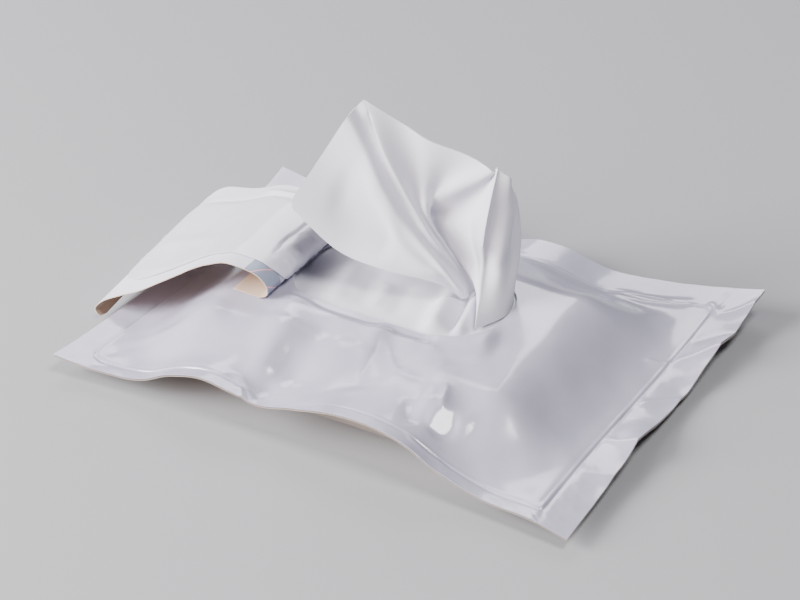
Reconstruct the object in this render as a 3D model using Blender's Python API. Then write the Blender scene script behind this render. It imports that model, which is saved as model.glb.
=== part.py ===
"""Open wet wipes pack: a four-side-seal film pouch with its reseal label peeled back.

The pouch lies on its bottom film. The label is folded back from the die-cut mouth over the
left end and carries the cut-out piece of film. One wipe stands half drawn from the mouth.

Frame: +X runs along the pouch from its left end to its right end, +Y from its front side to
its back side, +Z up. The origin is on the floor under the pouch's centre. Units are metres.
"""

from math import exp, sqrt

import bmesh
import bpy
from mathutils import Vector

# Pouch, flat size and seals
POUCH_LENGTH = 0.220
POUCH_WIDTH = 0.151
FILM = 0.00035
SEAL_LEFT = 0.0125
SEAL_RIGHT = 0.0140
SEAL_FRONT = 0.0065
SEAL_BACK = 0.0130
SIDE_PULL_IN = 0.0045
END_PULL_IN = 0.0020
SEAL_GAP = 0.0003
TOUCH_GAP = 0.0003

# Heights of the hems above the floor: (place along the hem from 0 to 1, height)
FRONT_HEM = (
    (0.00, 0.0086), (0.08, 0.0070), (0.17, 0.0082), (0.24, 0.0148), (0.305, 0.0179),
    (0.355, 0.0162), (0.41, 0.0136), (0.48, 0.0170), (0.565, 0.0212), (0.64, 0.0217),
    (0.70, 0.0188), (0.755, 0.0125), (0.84, 0.0074), (0.93, 0.0074), (1.00, 0.0050),
)
BACK_HEM = (
    (0.00, 0.0066), (0.10, 0.0045), (0.22, 0.0080), (0.34, 0.0125), (0.44, 0.0090),
    (0.51, 0.0066), (0.575, 0.0095), (0.63, 0.0090), (0.71, 0.0044), (0.80, 0.0050),
    (0.90, 0.0078), (1.00, 0.0120),
)
LEFT_HEM = (
    (0.00, 0.0086), (0.12, 0.0068), (0.28, 0.0055), (0.50, 0.0048), (0.74, 0.0062),
    (0.90, 0.0046), (1.00, 0.0066),
)
RIGHT_HEM = (
    (0.00, 0.0050), (0.16, 0.0050), (0.29, 0.0062), (0.37, 0.0080), (0.45, 0.0056),
    (0.52, 0.0040), (0.61, 0.0036), (0.70, 0.0064), (0.79, 0.0078), (0.86, 0.0076),
    (1.00, 0.0120),
)

# Bulge: how far inside its seals the film reaches the crown above and the floor below
CROWN = 0.0215
END_SLOPE = 0.038
SIDE_SLOPE = 0.034
BELLY_END_SLOPE = 0.026
BELLY_SIDE_SLOPE = 0.0150

# Broad folds of the top film: start and end as shares of the plan, width, height
FOLD_FADE = 0.3
FOLD_RISE = 1 / 3
FILM_FOLDS = (
    ((0.385, 0.08), (0.335, 0.37), 0.0070, 0.0018),
    ((0.44, 0.10), (0.42, 0.30), 0.0070, -0.0014),
    ((0.51, 0.36), (0.555, 0.14), 0.0055, 0.0014),
    ((0.53, 0.34), (0.60, 0.24), 0.0055, -0.0010),
    ((0.60, 0.40), (0.70, 0.43), 0.0090, 0.0020),
    ((0.66, 0.30), (0.70, 0.12), 0.0070, 0.0012),
    ((0.76, 0.40), (0.92, 0.28), 0.0080, -0.0012),
    ((0.74, 0.74), (0.90, 0.86), 0.0065, 0.0012),
    ((0.14, 0.14), (0.24, 0.24), 0.0065, 0.0012),
)

# Mouth cut through the top film
MOUTH_LENGTH = 0.086
MOUTH_WIDTH = 0.044
MOUTH_CORNER = 0.015
MOUTH_X = -0.0035
MOUTH_Y = 0.0030
LIP_WIDTH = 0.0045

# The curled lip in profile: (distance from the cut edge in lip widths, height)
LIP_PROFILE = ((0, -0.0008), (1, 0.0009), (2.4, 0), (3, 0))

# Reseal label: an anchored strip left of the mouth and the flap folded back from it
LABEL_THICKNESS = 0.0003
LABEL_ANCHOR = 0.012
LABEL_END_MARGIN = 0.0095
LABEL_FRONT_MARGIN = 0.0062
LABEL_BACK_MARGIN = 0.0050
LABEL_FOLD_OFFSET = 0.0025
FOLD_SPAN = 0.026
TAB_FLARE = 0.0155
FLARE_POWER = 1.3
TAB_CORNER = 0.003
TAB_FRONT_REACH = 0.0062
TAB_BACK_REACH = 0.0110
TAB_FRONT_HEIGHT = 0.0010
TAB_BACK_HEIGHT = 0.0055
LONGEST_SPAN = 0.78

# The folded flap in profile, as shares of the line from its fold to its free end
FRONT_ARCH = (
    (0.00, 0.000), (-0.055, 0.008), (-0.083, 0.050), (-0.070, 0.102), (-0.025, 0.150),
    (0.11, 0.213), (0.215, 0.218), (0.33, 0.205), (0.65, 0.139), (0.80, 0.115),
    (0.925, 0.088), (1.003, 0.050), (1.00, 0.000),
)
BACK_ARCH = (
    (0.00, 0.000), (-0.050, 0.010), (-0.075, 0.048), (-0.062, 0.098), (-0.015, 0.145),
    (0.126, 0.190), (0.230, 0.196), (0.334, 0.196), (0.642, 0.180), (0.770, 0.157),
    (0.877, 0.118), (0.959, 0.060), (1.00, 0.000),
)

# Die-cut piece of film that stays on the label's adhesive
PATCH_THICKNESS = 0.0003
PATCH_TRIM = 0.0006
PATCH_START = 0.0030
PATCH_FOLD_CORNER = 0.012

# Folded stack of wipes and the next wipe, which lies loose on top of it
STACK_END_ROOM = 0.03175
STACK_SIDE_ROOM = 0.02375
STACK_TOP = 0.0183
STACK_CLEARANCE = 0.0023
STACK_EDGE = 0.0025
WIPE_THICKNESS = 0.0005
NEXT_WIPE_MARGIN = 0.008
NEXT_WIPE_RIPPLE = 0.0007
NEXT_WIPE_SKEW = 0.12

# Soft waves along the next wipe: (share of its length, height from -1 to 1)
NEXT_WIPE_WAVES = ((0, 1), (0.2, -1), (0.42, 1), (0.62, -1), (0.8, 1), (1, -1))

# Tuck of the next wipe: start and end from the mouth's right end, width, height
NEXT_WIPE_TUCK = ((-0.0245, 0.0030), (-0.0195, -0.0150), 0.0050, 0.0024)

# Drawn wipe: five points up each rib, from the mouth's right end on the next wipe's top
WIPE_RIBS = (
    ((-0.0205, 0.0062, 0.000), (-0.0290, 0.0022, 0.0085), (-0.0475, -0.0035, 0.012),
     (-0.0665, -0.0063, 0.017), (-0.0835, -0.0095, 0.034)),
    ((-0.0190, 0.0069, 0.000), (-0.0265, 0.0020, 0.017), (-0.0395, 0.0000, 0.032),
     (-0.0515, 0.0015, 0.0495), (-0.0635, 0.0035, 0.069)),
    ((-0.0175, 0.0079, 0.000), (-0.0255, 0.0045, 0.0185), (-0.0345, 0.0035, 0.033),
     (-0.0485, 0.0045, 0.056), (-0.0595, 0.0100, 0.0745)),
    ((-0.0161, 0.0090, 0.000), (-0.0250, 0.0070, 0.018), (-0.0335, 0.0065, 0.0355),
     (-0.0360, 0.0100, 0.048), (-0.0365, 0.0120, 0.063)),
    ((-0.0145, 0.0102, 0.000), (-0.0240, 0.0088, 0.0175), (-0.0325, 0.0095, 0.032),
     (-0.0245, 0.0140, 0.043), (-0.0090, 0.0140, 0.057)),
    ((-0.0110, 0.0092, 0.000), (-0.0125, 0.0095, 0.0155), (-0.0105, 0.0077, 0.029),
     (-0.0085, 0.0100, 0.0435), (-0.0062, 0.0130, 0.0577)),
    ((-0.0025, 0.0109, 0.000), (-0.0042, 0.0145, 0.013), (-0.0056, 0.0185, 0.026),
     (-0.0063, 0.0215, 0.038), (-0.0063, 0.0175, 0.051)),
    ((-0.0060, 0.0165, 0.000), (-0.0075, 0.0210, 0.014), (-0.0100, 0.0250, 0.025),
     (-0.0140, 0.0270, 0.034), (-0.0180, 0.0260, 0.041)),
    ((-0.0130, 0.0180, 0.000), (-0.0165, 0.0230, 0.010), (-0.0225, 0.0260, 0.018),
     (-0.0295, 0.0280, 0.025), (-0.0365, 0.0280, 0.030)),
)

# Depth of the hollow between each rib and the next, and the share of the ribs it grows over
PANEL_HOLLOWS = (0.0035, 0.0020, 0.0012, 0.0014, 0.0010, -0.0008, -0.0016, -0.0015)
HOLLOW_GROWTH = 0.5

# Rings of the films, as shares of the way from the mouth's lip or the flat foot to the seals
TOP_RINGS = (0.13, 0.28, 0.44, 0.60, 0.75, 0.89)
BOTTOM_RINGS = (0.22, 0.48, 0.76)

# Mesh fineness
SIDE_STEPS = 28
END_STEPS = 16
FOLD_STEPS = 13
FLAP_STEPS = 14
LABEL_COLUMNS = 6
STACK_STEPS = (22, 14)
NEXT_WIPE_STEPS = (22, 12)
PANEL_STEPS = 3
RIB_STEPS = 12
RIB_REACH = 0.02
PROFILE_STEPS = 120
ARCH_HALVINGS = 30
HIGHEST_LIFT = 3.0

HALF_LENGTH = POUCH_LENGTH / 2
HALF_WIDTH = POUCH_WIDTH / 2
MOUTH_LEFT = MOUTH_X - MOUTH_LENGTH / 2
MOUTH_RIGHT = MOUTH_X + MOUTH_LENGTH / 2
STACK_LENGTH = POUCH_LENGTH - SEAL_LEFT - SEAL_RIGHT - 2 * STACK_END_ROOM
STACK_WIDTH = POUCH_WIDTH - SEAL_FRONT - SEAL_BACK - 2 * STACK_SIDE_ROOM
FOLD_X = MOUTH_LEFT - LABEL_FOLD_OFFSET
FLAP_LENGTH = LABEL_FOLD_OFFSET + MOUTH_LENGTH + LABEL_END_MARGIN
NEXT_WIPE_TOP = STACK_TOP + TOUCH_GAP + WIPE_THICKNESS + NEXT_WIPE_RIPPLE


def smooth(share):
    """An S-shaped step from 0 to 1, level at both ends."""
    share = min(max(share, 0.0), 1.0)
    return share * share * (3 - 2 * share)


def curve_value(stations, place):
    """The height of a smooth curve through (place, height) stations."""
    places = [station[0] for station in stations]
    heights = [station[1] for station in stations]
    last = len(stations) - 1
    index = max(i for i in range(last) if i == 0 or places[i] <= place)
    slopes = []
    for i in (index, index + 1):
        low, high = max(i - 1, 0), min(i + 1, last)
        slopes.append((heights[high] - heights[low]) / (places[high] - places[low]))
    span = places[index + 1] - places[index]
    t = min(max((place - places[index]) / span, 0.0), 1.0)
    return ((2 * t**3 - 3 * t**2 + 1) * heights[index] + (t**3 - 2 * t**2 + t) * span * slopes[0]
            + (3 * t**2 - 2 * t**3) * heights[index + 1] + (t**3 - t**2) * span * slopes[1])


def curve_point(points, share):
    """A point at a share of the way along a smooth curve through evenly timed points."""
    last = len(points) - 1
    stations = [i / last for i in range(last + 1)]
    return Vector([
        curve_value(tuple(zip(stations, [point[axis] for point in points])), share)
        for axis in range(len(points[0]))
    ])


def plan_point(u, v):
    """Plan position of a share (u, v) of the pouch, whose hems bow in between its corners."""
    x = (2 * u - 1) * (HALF_LENGTH - END_PULL_IN * 4 * v * (1 - v))
    y = (2 * v - 1) * (HALF_WIDTH - SIDE_PULL_IN * 4 * u * (1 - u))
    return x, y


def plan_share(x, y):
    """The share (u, v) of the pouch that lies at a plan position."""
    u = x / POUCH_LENGTH + 0.5
    v = y / POUCH_WIDTH + 0.5
    for _ in range(4):
        u, v = (
            0.5 + x / (POUCH_LENGTH - 8 * END_PULL_IN * v * (1 - v)),
            0.5 + y / (POUCH_WIDTH - 8 * SIDE_PULL_IN * u * (1 - u)),
        )
    return u, v


def hem_height(u, v):
    """Height of the hems, blended across the pouch from its four sides."""
    u = min(max(u, 0.0), 1.0)
    v = min(max(v, 0.0), 1.0)
    front, back = curve_value(FRONT_HEM, u), curve_value(BACK_HEM, u)
    left, right = curve_value(LEFT_HEM, v), curve_value(RIGHT_HEM, v)
    corners = ((1 - u) * ((1 - v) * LEFT_HEM[0][1] + v * LEFT_HEM[-1][1])
               + u * ((1 - v) * RIGHT_HEM[0][1] + v * RIGHT_HEM[-1][1]))
    return (1 - v) * front + v * back + (1 - u) * left + u * right - corners


def rise(u, v, end_slope, side_slope):
    """How far the film has risen from its seals, from 0 on them to 1 at its full height."""
    along = min(u * POUCH_LENGTH - SEAL_LEFT, (1 - u) * POUCH_LENGTH - SEAL_RIGHT)
    across = min(v * POUCH_WIDTH - SEAL_FRONT, (1 - v) * POUCH_WIDTH - SEAL_BACK)
    return smooth(along / end_slope) * smooth(across / side_slope)


def ridge(place, first, last, width):
    """A ridge of height 1 along a line: a bell across it that fades at both its ends."""
    along = last - first
    share = (place - first).dot(along) / along.length_squared
    off = (place - first - along * share).length / width
    fade = smooth(share / FOLD_FADE + 0.5) * smooth((1 - share) / FOLD_FADE + 0.5)
    return fade * exp(-off * off)


def fold_height(u, v):
    """Height that the broad folds add to the top film, none of it on the seals."""
    place = Vector((u * POUCH_LENGTH, v * POUCH_WIDTH))
    total = 0.0
    for start, end, width, height in FILM_FOLDS:
        first = Vector((start[0] * POUCH_LENGTH, start[1] * POUCH_WIDTH))
        last = Vector((end[0] * POUCH_LENGTH, end[1] * POUCH_WIDTH))
        total += height * ridge(place, first, last, width)
    return total * rise(u, v, END_SLOPE * FOLD_RISE, SIDE_SLOPE * FOLD_RISE)


def lip_height(x, y):
    """Height of the curled lip of the mouth: its edge turns down, and it dies at the fold."""
    out_x = abs(x - MOUTH_X) - MOUTH_LENGTH / 2 + MOUTH_CORNER
    out_y = abs(y - MOUTH_Y) - MOUTH_WIDTH / 2 + MOUTH_CORNER
    distance = Vector((max(out_x, 0.0), max(out_y, 0.0))).length - MOUTH_CORNER
    return curve_value(LIP_PROFILE, distance / LIP_WIDTH) * smooth((x - MOUTH_LEFT) / (2 * MOUTH_CORNER))


def top_height(x, y):
    """Height of the top film's under face."""
    u, v = plan_share(x, y)
    risen = rise(u, v, END_SLOPE, SIDE_SLOPE)
    body = hem_height(u, v) * (1 - risen) + CROWN * risen
    return body + fold_height(u, v) + lip_height(x, y)


def bottom_height(x, y):
    """Height of the bottom film's upper face."""
    u, v = plan_share(x, y)
    sunk = rise(u, v, BELLY_END_SLOPE, BELLY_SIDE_SLOPE)
    return (hem_height(u, v) - SEAL_GAP) * (1 - sunk) + FILM * sunk


def square_outline():
    """Shares (u, v) once round the unit square, from its front left corner."""
    front = [(i / SIDE_STEPS, 0.0) for i in range(SIDE_STEPS)]
    right = [(1.0, i / END_STEPS) for i in range(END_STEPS)]
    back = [(1 - i / SIDE_STEPS, 1.0) for i in range(SIDE_STEPS)]
    left = [(0.0, 1 - i / END_STEPS) for i in range(END_STEPS)]
    return front + right + back + left


def rounded_outline(centre_x, centre_y, length, width, corner):
    """Plan points of a rectangle with round corners, one for each point of the square."""
    points = []
    for u, v in square_outline():
        x, y = (u - 0.5) * length, (v - 0.5) * width
        side_x, side_y = (1 if x > 0 else -1), (1 if y > 0 else -1)
        heart_x, heart_y = length / 2 - corner, width / 2 - corner
        if abs(x) > heart_x and abs(y) > heart_y:
            out = Vector((x - side_x * heart_x, y - side_y * heart_y)).normalized() * corner
            x, y = side_x * heart_x + out.x, side_y * heart_y + out.y
        points.append((centre_x + x, centre_y + y))
    return points


def seal_outline(share):
    """Plan points between the outer edge (share 0) and the inner line of the seals (1)."""
    points = []
    for u, v in square_outline():
        inner_u = (SEAL_LEFT + u * (POUCH_LENGTH - SEAL_LEFT - SEAL_RIGHT)) / POUCH_LENGTH
        inner_v = (SEAL_FRONT + v * (POUCH_WIDTH - SEAL_FRONT - SEAL_BACK)) / POUCH_WIDTH
        points.append(plan_point(u + share * (inner_u - u), v + share * (inner_v - v)))
    return points


def between(inner, outer, share):
    """Plan points at a share of the way from one outline to another."""
    return [
        (a[0] + (b[0] - a[0]) * share, a[1] + (b[1] - a[1]) * share)
        for a, b in zip(inner, outer)
    ]


def make_material(name, colour, roughness, metallic=0.0):
    """A plain Principled material."""
    material = bpy.data.materials.new(name)
    material.use_nodes = True
    shader = material.node_tree.nodes["Principled BSDF"]
    shader.inputs["Base Color"].default_value = (*colour, 1.0)
    shader.inputs["Roughness"].default_value = roughness
    shader.inputs["Metallic"].default_value = metallic
    return material


def surface_mesh(name, rows, closed=False, capped=False):
    """A mesh through rows of points, split the same way in every cell.

    A closed row joins its last point to its first, and capped fills the first row.
    """
    mesh = bpy.data.meshes.new(name)
    shape = bmesh.new()
    grid = [[shape.verts.new(point) for point in row] for row in rows]
    width = len(rows[0])
    for inner, outer in zip(grid, grid[1:]):
        for i in range(width if closed else width - 1):
            j = (i + 1) % width
            shape.faces.new((inner[i], outer[i], outer[j]))
            shape.faces.new((inner[i], outer[j], inner[j]))
    if capped:
        shape.faces.new(grid[0])
    shape.to_mesh(mesh)
    shape.free()
    return mesh


def add_object(name, mesh, material):
    """A smooth-shaded object of the model."""
    mesh.materials.append(material)
    mesh.shade_smooth()
    piece = bpy.data.objects.new(name, mesh)
    bpy.context.collection.objects.link(piece)
    return piece


def add_sheet(name, rows, thickness, side, material, closed=False, capped=False):
    """A sheet of one thickness, added above its surface (side 1) or below it (side -1)."""
    piece = add_object(name, surface_mesh(name, rows, closed, capped), material)
    solid = piece.modifiers.new("thickness", "SOLIDIFY")
    solid.thickness = thickness
    solid.offset = side
    solid.use_even_offset = True
    return piece


def build_top_film(material):
    """The top film, from the lip of its mouth out to the hems."""
    mouth = rounded_outline(MOUTH_X, MOUTH_Y, MOUTH_LENGTH, MOUTH_WIDTH, MOUTH_CORNER)
    lip = rounded_outline(MOUTH_X, MOUTH_Y, MOUTH_LENGTH + 2 * LIP_WIDTH,
                          MOUTH_WIDTH + 2 * LIP_WIDTH, MOUTH_CORNER + LIP_WIDTH)
    seal = seal_outline(1.0)
    outlines = [mouth, between(mouth, lip, 0.5), lip]
    outlines += [between(lip, seal, share) for share in TOP_RINGS]
    outlines += [seal, seal_outline(0.5), seal_outline(0.0)]
    rows = [[Vector((x, y, top_height(x, y))) for x, y in outline] for outline in outlines]
    return add_sheet("top_film", rows, FILM, 1, material, closed=True)


def build_bottom_film(material):
    """The bottom film, flat on the floor under the stack and rising to the hems."""
    left = -HALF_LENGTH + SEAL_LEFT + BELLY_END_SLOPE
    right = HALF_LENGTH - SEAL_RIGHT - BELLY_END_SLOPE
    front = -HALF_WIDTH + SEAL_FRONT + SIDE_PULL_IN + BELLY_SIDE_SLOPE
    back = HALF_WIDTH - SEAL_BACK - SIDE_PULL_IN - BELLY_SIDE_SLOPE
    foot = rounded_outline((left + right) / 2, (front + back) / 2, right - left, back - front,
                           MOUTH_CORNER)
    seal = seal_outline(1.0)
    outlines = [foot]
    outlines += [between(foot, seal, share) for share in BOTTOM_RINGS]
    outlines += [seal, seal_outline(0.5), seal_outline(0.0)]
    rows = [
        [Vector((x, y, bottom_height(x, y) if outline is not foot else FILM))
         for x, y in outline]
        for outline in outlines
    ]
    return add_sheet("bottom_film", rows, FILM, -1, material, closed=True, capped=True)


def stack_height(x, y):
    """Height of the stack's top, which the film presses down towards the stack's edges."""
    return min(STACK_TOP, top_height(x, y) - STACK_CLEARANCE)


def build_stack(material):
    """The folded stack as one solid: square sides, flat below, soft and rounded on top."""
    columns, lines = STACK_STEPS
    rows = []
    for j in range(lines + 1):
        y = MOUTH_Y + (j / lines - 0.5) * STACK_WIDTH
        row = []
        for i in range(columns + 1):
            x = MOUTH_X + (i / columns - 0.5) * STACK_LENGTH
            height = stack_height(x, y)
            if i in (0, columns) or j in (0, lines):
                height -= STACK_EDGE
            row.append(Vector((x, y, height)))
        rows.append(row)
    mesh = bpy.data.meshes.new("wipe_stack")
    shape = bmesh.new()
    grid = [[shape.verts.new(point) for point in row] for row in rows]
    for near, far in zip(grid, grid[1:]):
        for i in range(columns):
            shape.faces.new((near[i], near[i + 1], far[i + 1], far[i]))
    rim = (grid[0][:-1] + [row[-1] for row in grid[:-1]]
           + grid[-1][:0:-1] + [row[0] for row in grid[:0:-1]])
    floor = [shape.verts.new((vert.co.x, vert.co.y, FILM + TOUCH_GAP)) for vert in rim]
    for i, vert in enumerate(rim):
        j = (i + 1) % len(rim)
        shape.faces.new((floor[i], floor[j], rim[j], vert))
    shape.faces.new(floor[::-1])
    shape.to_mesh(mesh)
    shape.free()
    return add_object("wipe_stack", mesh, material)


def tuck_height(x, y):
    """Height of the rounded tuck where the next wipe follows the drawn one."""
    start, end, width, height = NEXT_WIPE_TUCK
    root = Vector((MOUTH_RIGHT, MOUTH_Y))
    return height * ridge(Vector((x, y)), root + Vector(start), root + Vector(end), width)


def build_next_wipe(material):
    """The next wipe, lying loose over the stack under the mouth, with soft cross folds."""
    columns, lines = NEXT_WIPE_STEPS
    length = MOUTH_LENGTH + 2 * NEXT_WIPE_MARGIN
    width = MOUTH_WIDTH + 2 * NEXT_WIPE_MARGIN
    rows = []
    for i in range(columns + 1):
        u = i / columns
        x = MOUTH_X + (u - 0.5) * length
        row = []
        for j in range(lines + 1):
            v = j / lines
            y = MOUTH_Y + (v - 0.5) * width
            wave = curve_value(NEXT_WIPE_WAVES, min(u + NEXT_WIPE_SKEW * (1 - v), 1.0))
            ripple = NEXT_WIPE_RIPPLE * min(max((1 + wave) / 2, 0.0), 1.0)
            height = stack_height(x, y) + TOUCH_GAP + ripple + tuck_height(x, y)
            row.append(Vector((x, y, height)))
        rows.append(row)
    return add_sheet("next_wipe", rows, WIPE_THICKNESS, 1, material)


def arch_profile(fold, end, shape, length):
    """Points along the folded flap, raised above its chord until it has its own length."""
    chord = end - fold
    up = Vector((chord.y, -chord.x)) if chord.x < 0 else Vector((-chord.y, chord.x))
    low, high = 0.0, HIGHEST_LIFT
    points = []
    for _ in range(ARCH_HALVINGS):
        lift = (low + high) / 2
        knots = [fold + chord * along + up * (lift * across) for along, across in shape]
        points = [curve_point(knots, i / PROFILE_STEPS) for i in range(PROFILE_STEPS + 1)]
        reached = sum((b - a).length for a, b in zip(points, points[1:]))
        low, high = (lift, high) if reached < length else (low, lift)
    return points


def flap_stations():
    """Lengths along the flap at which its cross rows stand, closer together in the fold."""
    fold = [FOLD_SPAN * i / FOLD_STEPS for i in range(FOLD_STEPS)]
    rest = FLAP_LENGTH - FOLD_SPAN
    return fold + [FOLD_SPAN + rest * i / FLAP_STEPS for i in range(FLAP_STEPS + 1)]


def points_at(points, stations):
    """Points of a polyline at the given shares of its length."""
    lengths = [0.0]
    for a, b in zip(points, points[1:]):
        lengths.append(lengths[-1] + (b - a).length)
    result = []
    index = 0
    for station in stations:
        target = lengths[-1] * station / stations[-1]
        while index < len(points) - 2 and lengths[index + 1] < target:
            index += 1
        share = (target - lengths[index]) / (lengths[index + 1] - lengths[index])
        result.append(points[index].lerp(points[index + 1], min(share, 1.0)))
    return result


def flap_end(reach, height, y):
    """Where the flap's free end lies: past the left hem, or on the film if it is short."""
    past_hem = -HALF_LENGTH - reach
    furthest = FOLD_X - LONGEST_SPAN * FLAP_LENGTH
    if furthest <= past_hem:
        return Vector((past_hem, height))
    x = max(furthest, -HALF_LENGTH + SEAL_LEFT)
    return Vector((x, top_height(x, y) + FILM + height + TOUCH_GAP))


def flap_edges():
    """The flap's front and back edges, as evenly spaced points from the fold to its end."""
    front_y = MOUTH_Y - MOUTH_WIDTH / 2 - LABEL_FRONT_MARGIN
    back_y = MOUTH_Y + MOUTH_WIDTH / 2 + LABEL_BACK_MARGIN
    edges = []
    for y, shape, reach, height, flare in (
            (front_y, FRONT_ARCH, TAB_FRONT_REACH, TAB_FRONT_HEIGHT, TAB_FLARE),
            (back_y, BACK_ARCH, TAB_BACK_REACH, TAB_BACK_HEIGHT, 0.0)):
        seat = label_seat(FOLD_X, y)
        fold = Vector((FOLD_X, seat))
        profile = arch_profile(fold, flap_end(reach, height, y), shape, FLAP_LENGTH)
        stations = flap_stations()
        edges.append([
            Vector((point.x, y - flare * smooth(station / FLAP_LENGTH) ** FLARE_POWER, point.y))
            for station, point in zip(stations, points_at(profile, stations))
        ])
    return edges


def label_seat(x, y):
    """Height of the label's under face where it lies on the film."""
    return top_height(x, y) + FILM + TOUCH_GAP


def flap_rows(edges, first, last, front_share, back_share, corner):
    """Rows across the flap between two lengths along it, narrowed at its round corners."""
    rows = []
    stations = flap_stations()
    for place in [first] + [s for s in stations if first < s < last] + [last]:
        index = max(i for i in range(len(stations) - 1) if i == 0 or stations[i] <= place)
        part = (place - stations[index]) / (stations[index + 1] - stations[index])
        front = edges[0][index].lerp(edges[0][index + 1], part)
        back = edges[1][index].lerp(edges[1][index + 1], part)
        width = (back - front).length
        inset = 0.0
        for distance, radius in ((place - first, corner[0]), (last - place, corner[1])):
            if distance < radius:
                inset = max(inset, radius - sqrt(radius**2 - (radius - distance) ** 2))
        near = front_share + inset / width
        far = back_share - inset / width
        rows.append([
            front.lerp(back, near + (far - near) * j / LABEL_COLUMNS)
            for j in range(LABEL_COLUMNS + 1)
        ])
    return rows


def raised(rows, distance):
    """The same rows moved off the surface along its normal."""
    result = []
    for i, row in enumerate(rows):
        before, after = rows[max(i - 1, 0)], rows[min(i + 1, len(rows) - 1)]
        moved = []
        for j, point in enumerate(row):
            along = after[j] - before[j]
            across = row[min(j + 1, len(row) - 1)] - row[max(j - 1, 0)]
            moved.append(point + along.cross(across).normalized() * distance)
        result.append(moved)
    return result


def build_label(material):
    """The reseal label: its anchored strip on the film, its fold and its flap."""
    edges = flap_edges()
    flap = flap_rows(edges, 0.0, FLAP_LENGTH, 0.0, 1.0, (0.0, TAB_CORNER))
    front_y, back_y = edges[0][0].y, edges[1][0].y
    rows = []
    for x in (FOLD_X - LABEL_ANCHOR, FOLD_X - LABEL_ANCHOR * 0.5, FOLD_X):
        row = []
        for j in range(LABEL_COLUMNS + 1):
            y = front_y + (back_y - front_y) * j / LABEL_COLUMNS
            row.append(Vector((x, y, label_seat(x, y))))
        rows.append(row)
    rows += flap[1:]
    return add_sheet("reseal_label", rows, LABEL_THICKNESS, 1, material)


def build_patch(material):
    """The die-cut piece of film on the adhesive side of the flap."""
    edges = flap_edges()
    width = MOUTH_WIDTH + LABEL_FRONT_MARGIN + LABEL_BACK_MARGIN
    front_share = (LABEL_FRONT_MARGIN + PATCH_TRIM) / width
    back_share = 1 - (LABEL_BACK_MARGIN + PATCH_TRIM) / width
    last = PATCH_START + MOUTH_LENGTH - 2 * PATCH_TRIM
    rows = flap_rows(edges, PATCH_START, last, front_share, back_share,
                     (PATCH_FOLD_CORNER, MOUTH_CORNER))
    rows = raised(rows, -(PATCH_THICKNESS + TOUCH_GAP))
    return add_sheet("film_patch", rows, PATCH_THICKNESS, 1, material)


def build_drawn_wipe(material):
    """The half-drawn wipe: panels between ribs that fan out from the mouth's right end."""
    root = Vector((MOUTH_RIGHT, MOUTH_Y, NEXT_WIPE_TOP + TOUCH_GAP))
    rows = []
    for k in range(RIB_STEPS + 1):
        share = k / RIB_STEPS
        ribs = [root + curve_point(rib, share) for rib in WIPE_RIBS]
        ahead = [root + curve_point(rib, min(share + RIB_REACH, 1.0)) for rib in WIPE_RIBS]
        behind = [root + curve_point(rib, max(share - RIB_REACH, 0.0)) for rib in WIPE_RIBS]
        row = [ribs[0]]
        for p, hollow in enumerate(PANEL_HOLLOWS):
            across = ribs[p + 1] - ribs[p]
            along = (ahead[p] + ahead[p + 1]) - (behind[p] + behind[p + 1])
            inward = along.cross(across).normalized()
            for step in range(1, PANEL_STEPS + 1):
                t = step / PANEL_STEPS
                bulge = hollow * 4 * t * (1 - t) * smooth(share / HOLLOW_GROWTH)
                row.append(ribs[p] + across * t + inward * bulge)
        rows.append(row)
    return add_sheet("drawn_wipe", rows, WIPE_THICKNESS, 0, material)


def main():
    """Clears the scene and builds every piece of the pack."""
    for item in list(bpy.data.objects):
        bpy.data.objects.remove(item, do_unlink=True)
    film = make_material("white film", (0.80, 0.79, 0.83), 0.28)
    underside = make_material("white film underside", (0.62, 0.58, 0.57), 0.45)
    label = make_material("label film", (0.84, 0.83, 0.86), 0.42)
    patch = make_material("cut film", (0.82, 0.82, 0.86), 0.35)
    fabric = make_material("wet nonwoven", (0.83, 0.83, 0.85), 0.75)
    build_top_film(film)
    build_bottom_film(underside)
    build_label(label)
    build_patch(patch)
    build_stack(fabric)
    build_next_wipe(fabric)
    build_drawn_wipe(fabric)


main()
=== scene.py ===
"""Looks of an open wet wipes pack: a glossy film pouch, its peeled-back label and its wipes.

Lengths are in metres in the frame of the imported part, unless a name or comment says millimetres:
+X runs along the pouch to its right end, +Y across it to its back side and +Z up. The origin is
on the floor under the pouch's centre.
"""

from __future__ import annotations

import logging
import math
from dataclasses import dataclass
from enum import Enum
from typing import Any

import bpy
import numpy as np
from mathutils import Matrix, Vector

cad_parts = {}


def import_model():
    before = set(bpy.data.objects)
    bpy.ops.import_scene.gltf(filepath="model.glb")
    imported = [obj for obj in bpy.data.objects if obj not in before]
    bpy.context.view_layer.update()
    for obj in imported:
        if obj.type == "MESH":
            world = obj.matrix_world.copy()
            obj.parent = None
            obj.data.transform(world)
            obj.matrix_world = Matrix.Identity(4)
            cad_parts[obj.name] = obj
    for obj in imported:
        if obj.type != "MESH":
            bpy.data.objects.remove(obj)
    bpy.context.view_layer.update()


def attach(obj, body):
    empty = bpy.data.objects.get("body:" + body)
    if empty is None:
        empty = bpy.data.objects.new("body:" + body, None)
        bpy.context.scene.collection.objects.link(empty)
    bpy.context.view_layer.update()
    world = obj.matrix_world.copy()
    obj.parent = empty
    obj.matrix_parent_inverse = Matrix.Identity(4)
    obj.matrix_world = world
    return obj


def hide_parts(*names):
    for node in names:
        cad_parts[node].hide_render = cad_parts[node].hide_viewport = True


LOG = logging.getLogger("wipes_pack")
MM = 0.001

# Width of the photograph's frame in pixels, of which the camera's shift is a share
FRAME_WIDTH = 800

# Share of a fold's length over which it fades at each end
FADE = 0.22

# Rounding of a sharp crease's crest
CREST = 0.00012

# Angle between two faces from which the edge between them is drawn sharp
SHARP_ANGLE = math.radians(60)

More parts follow.
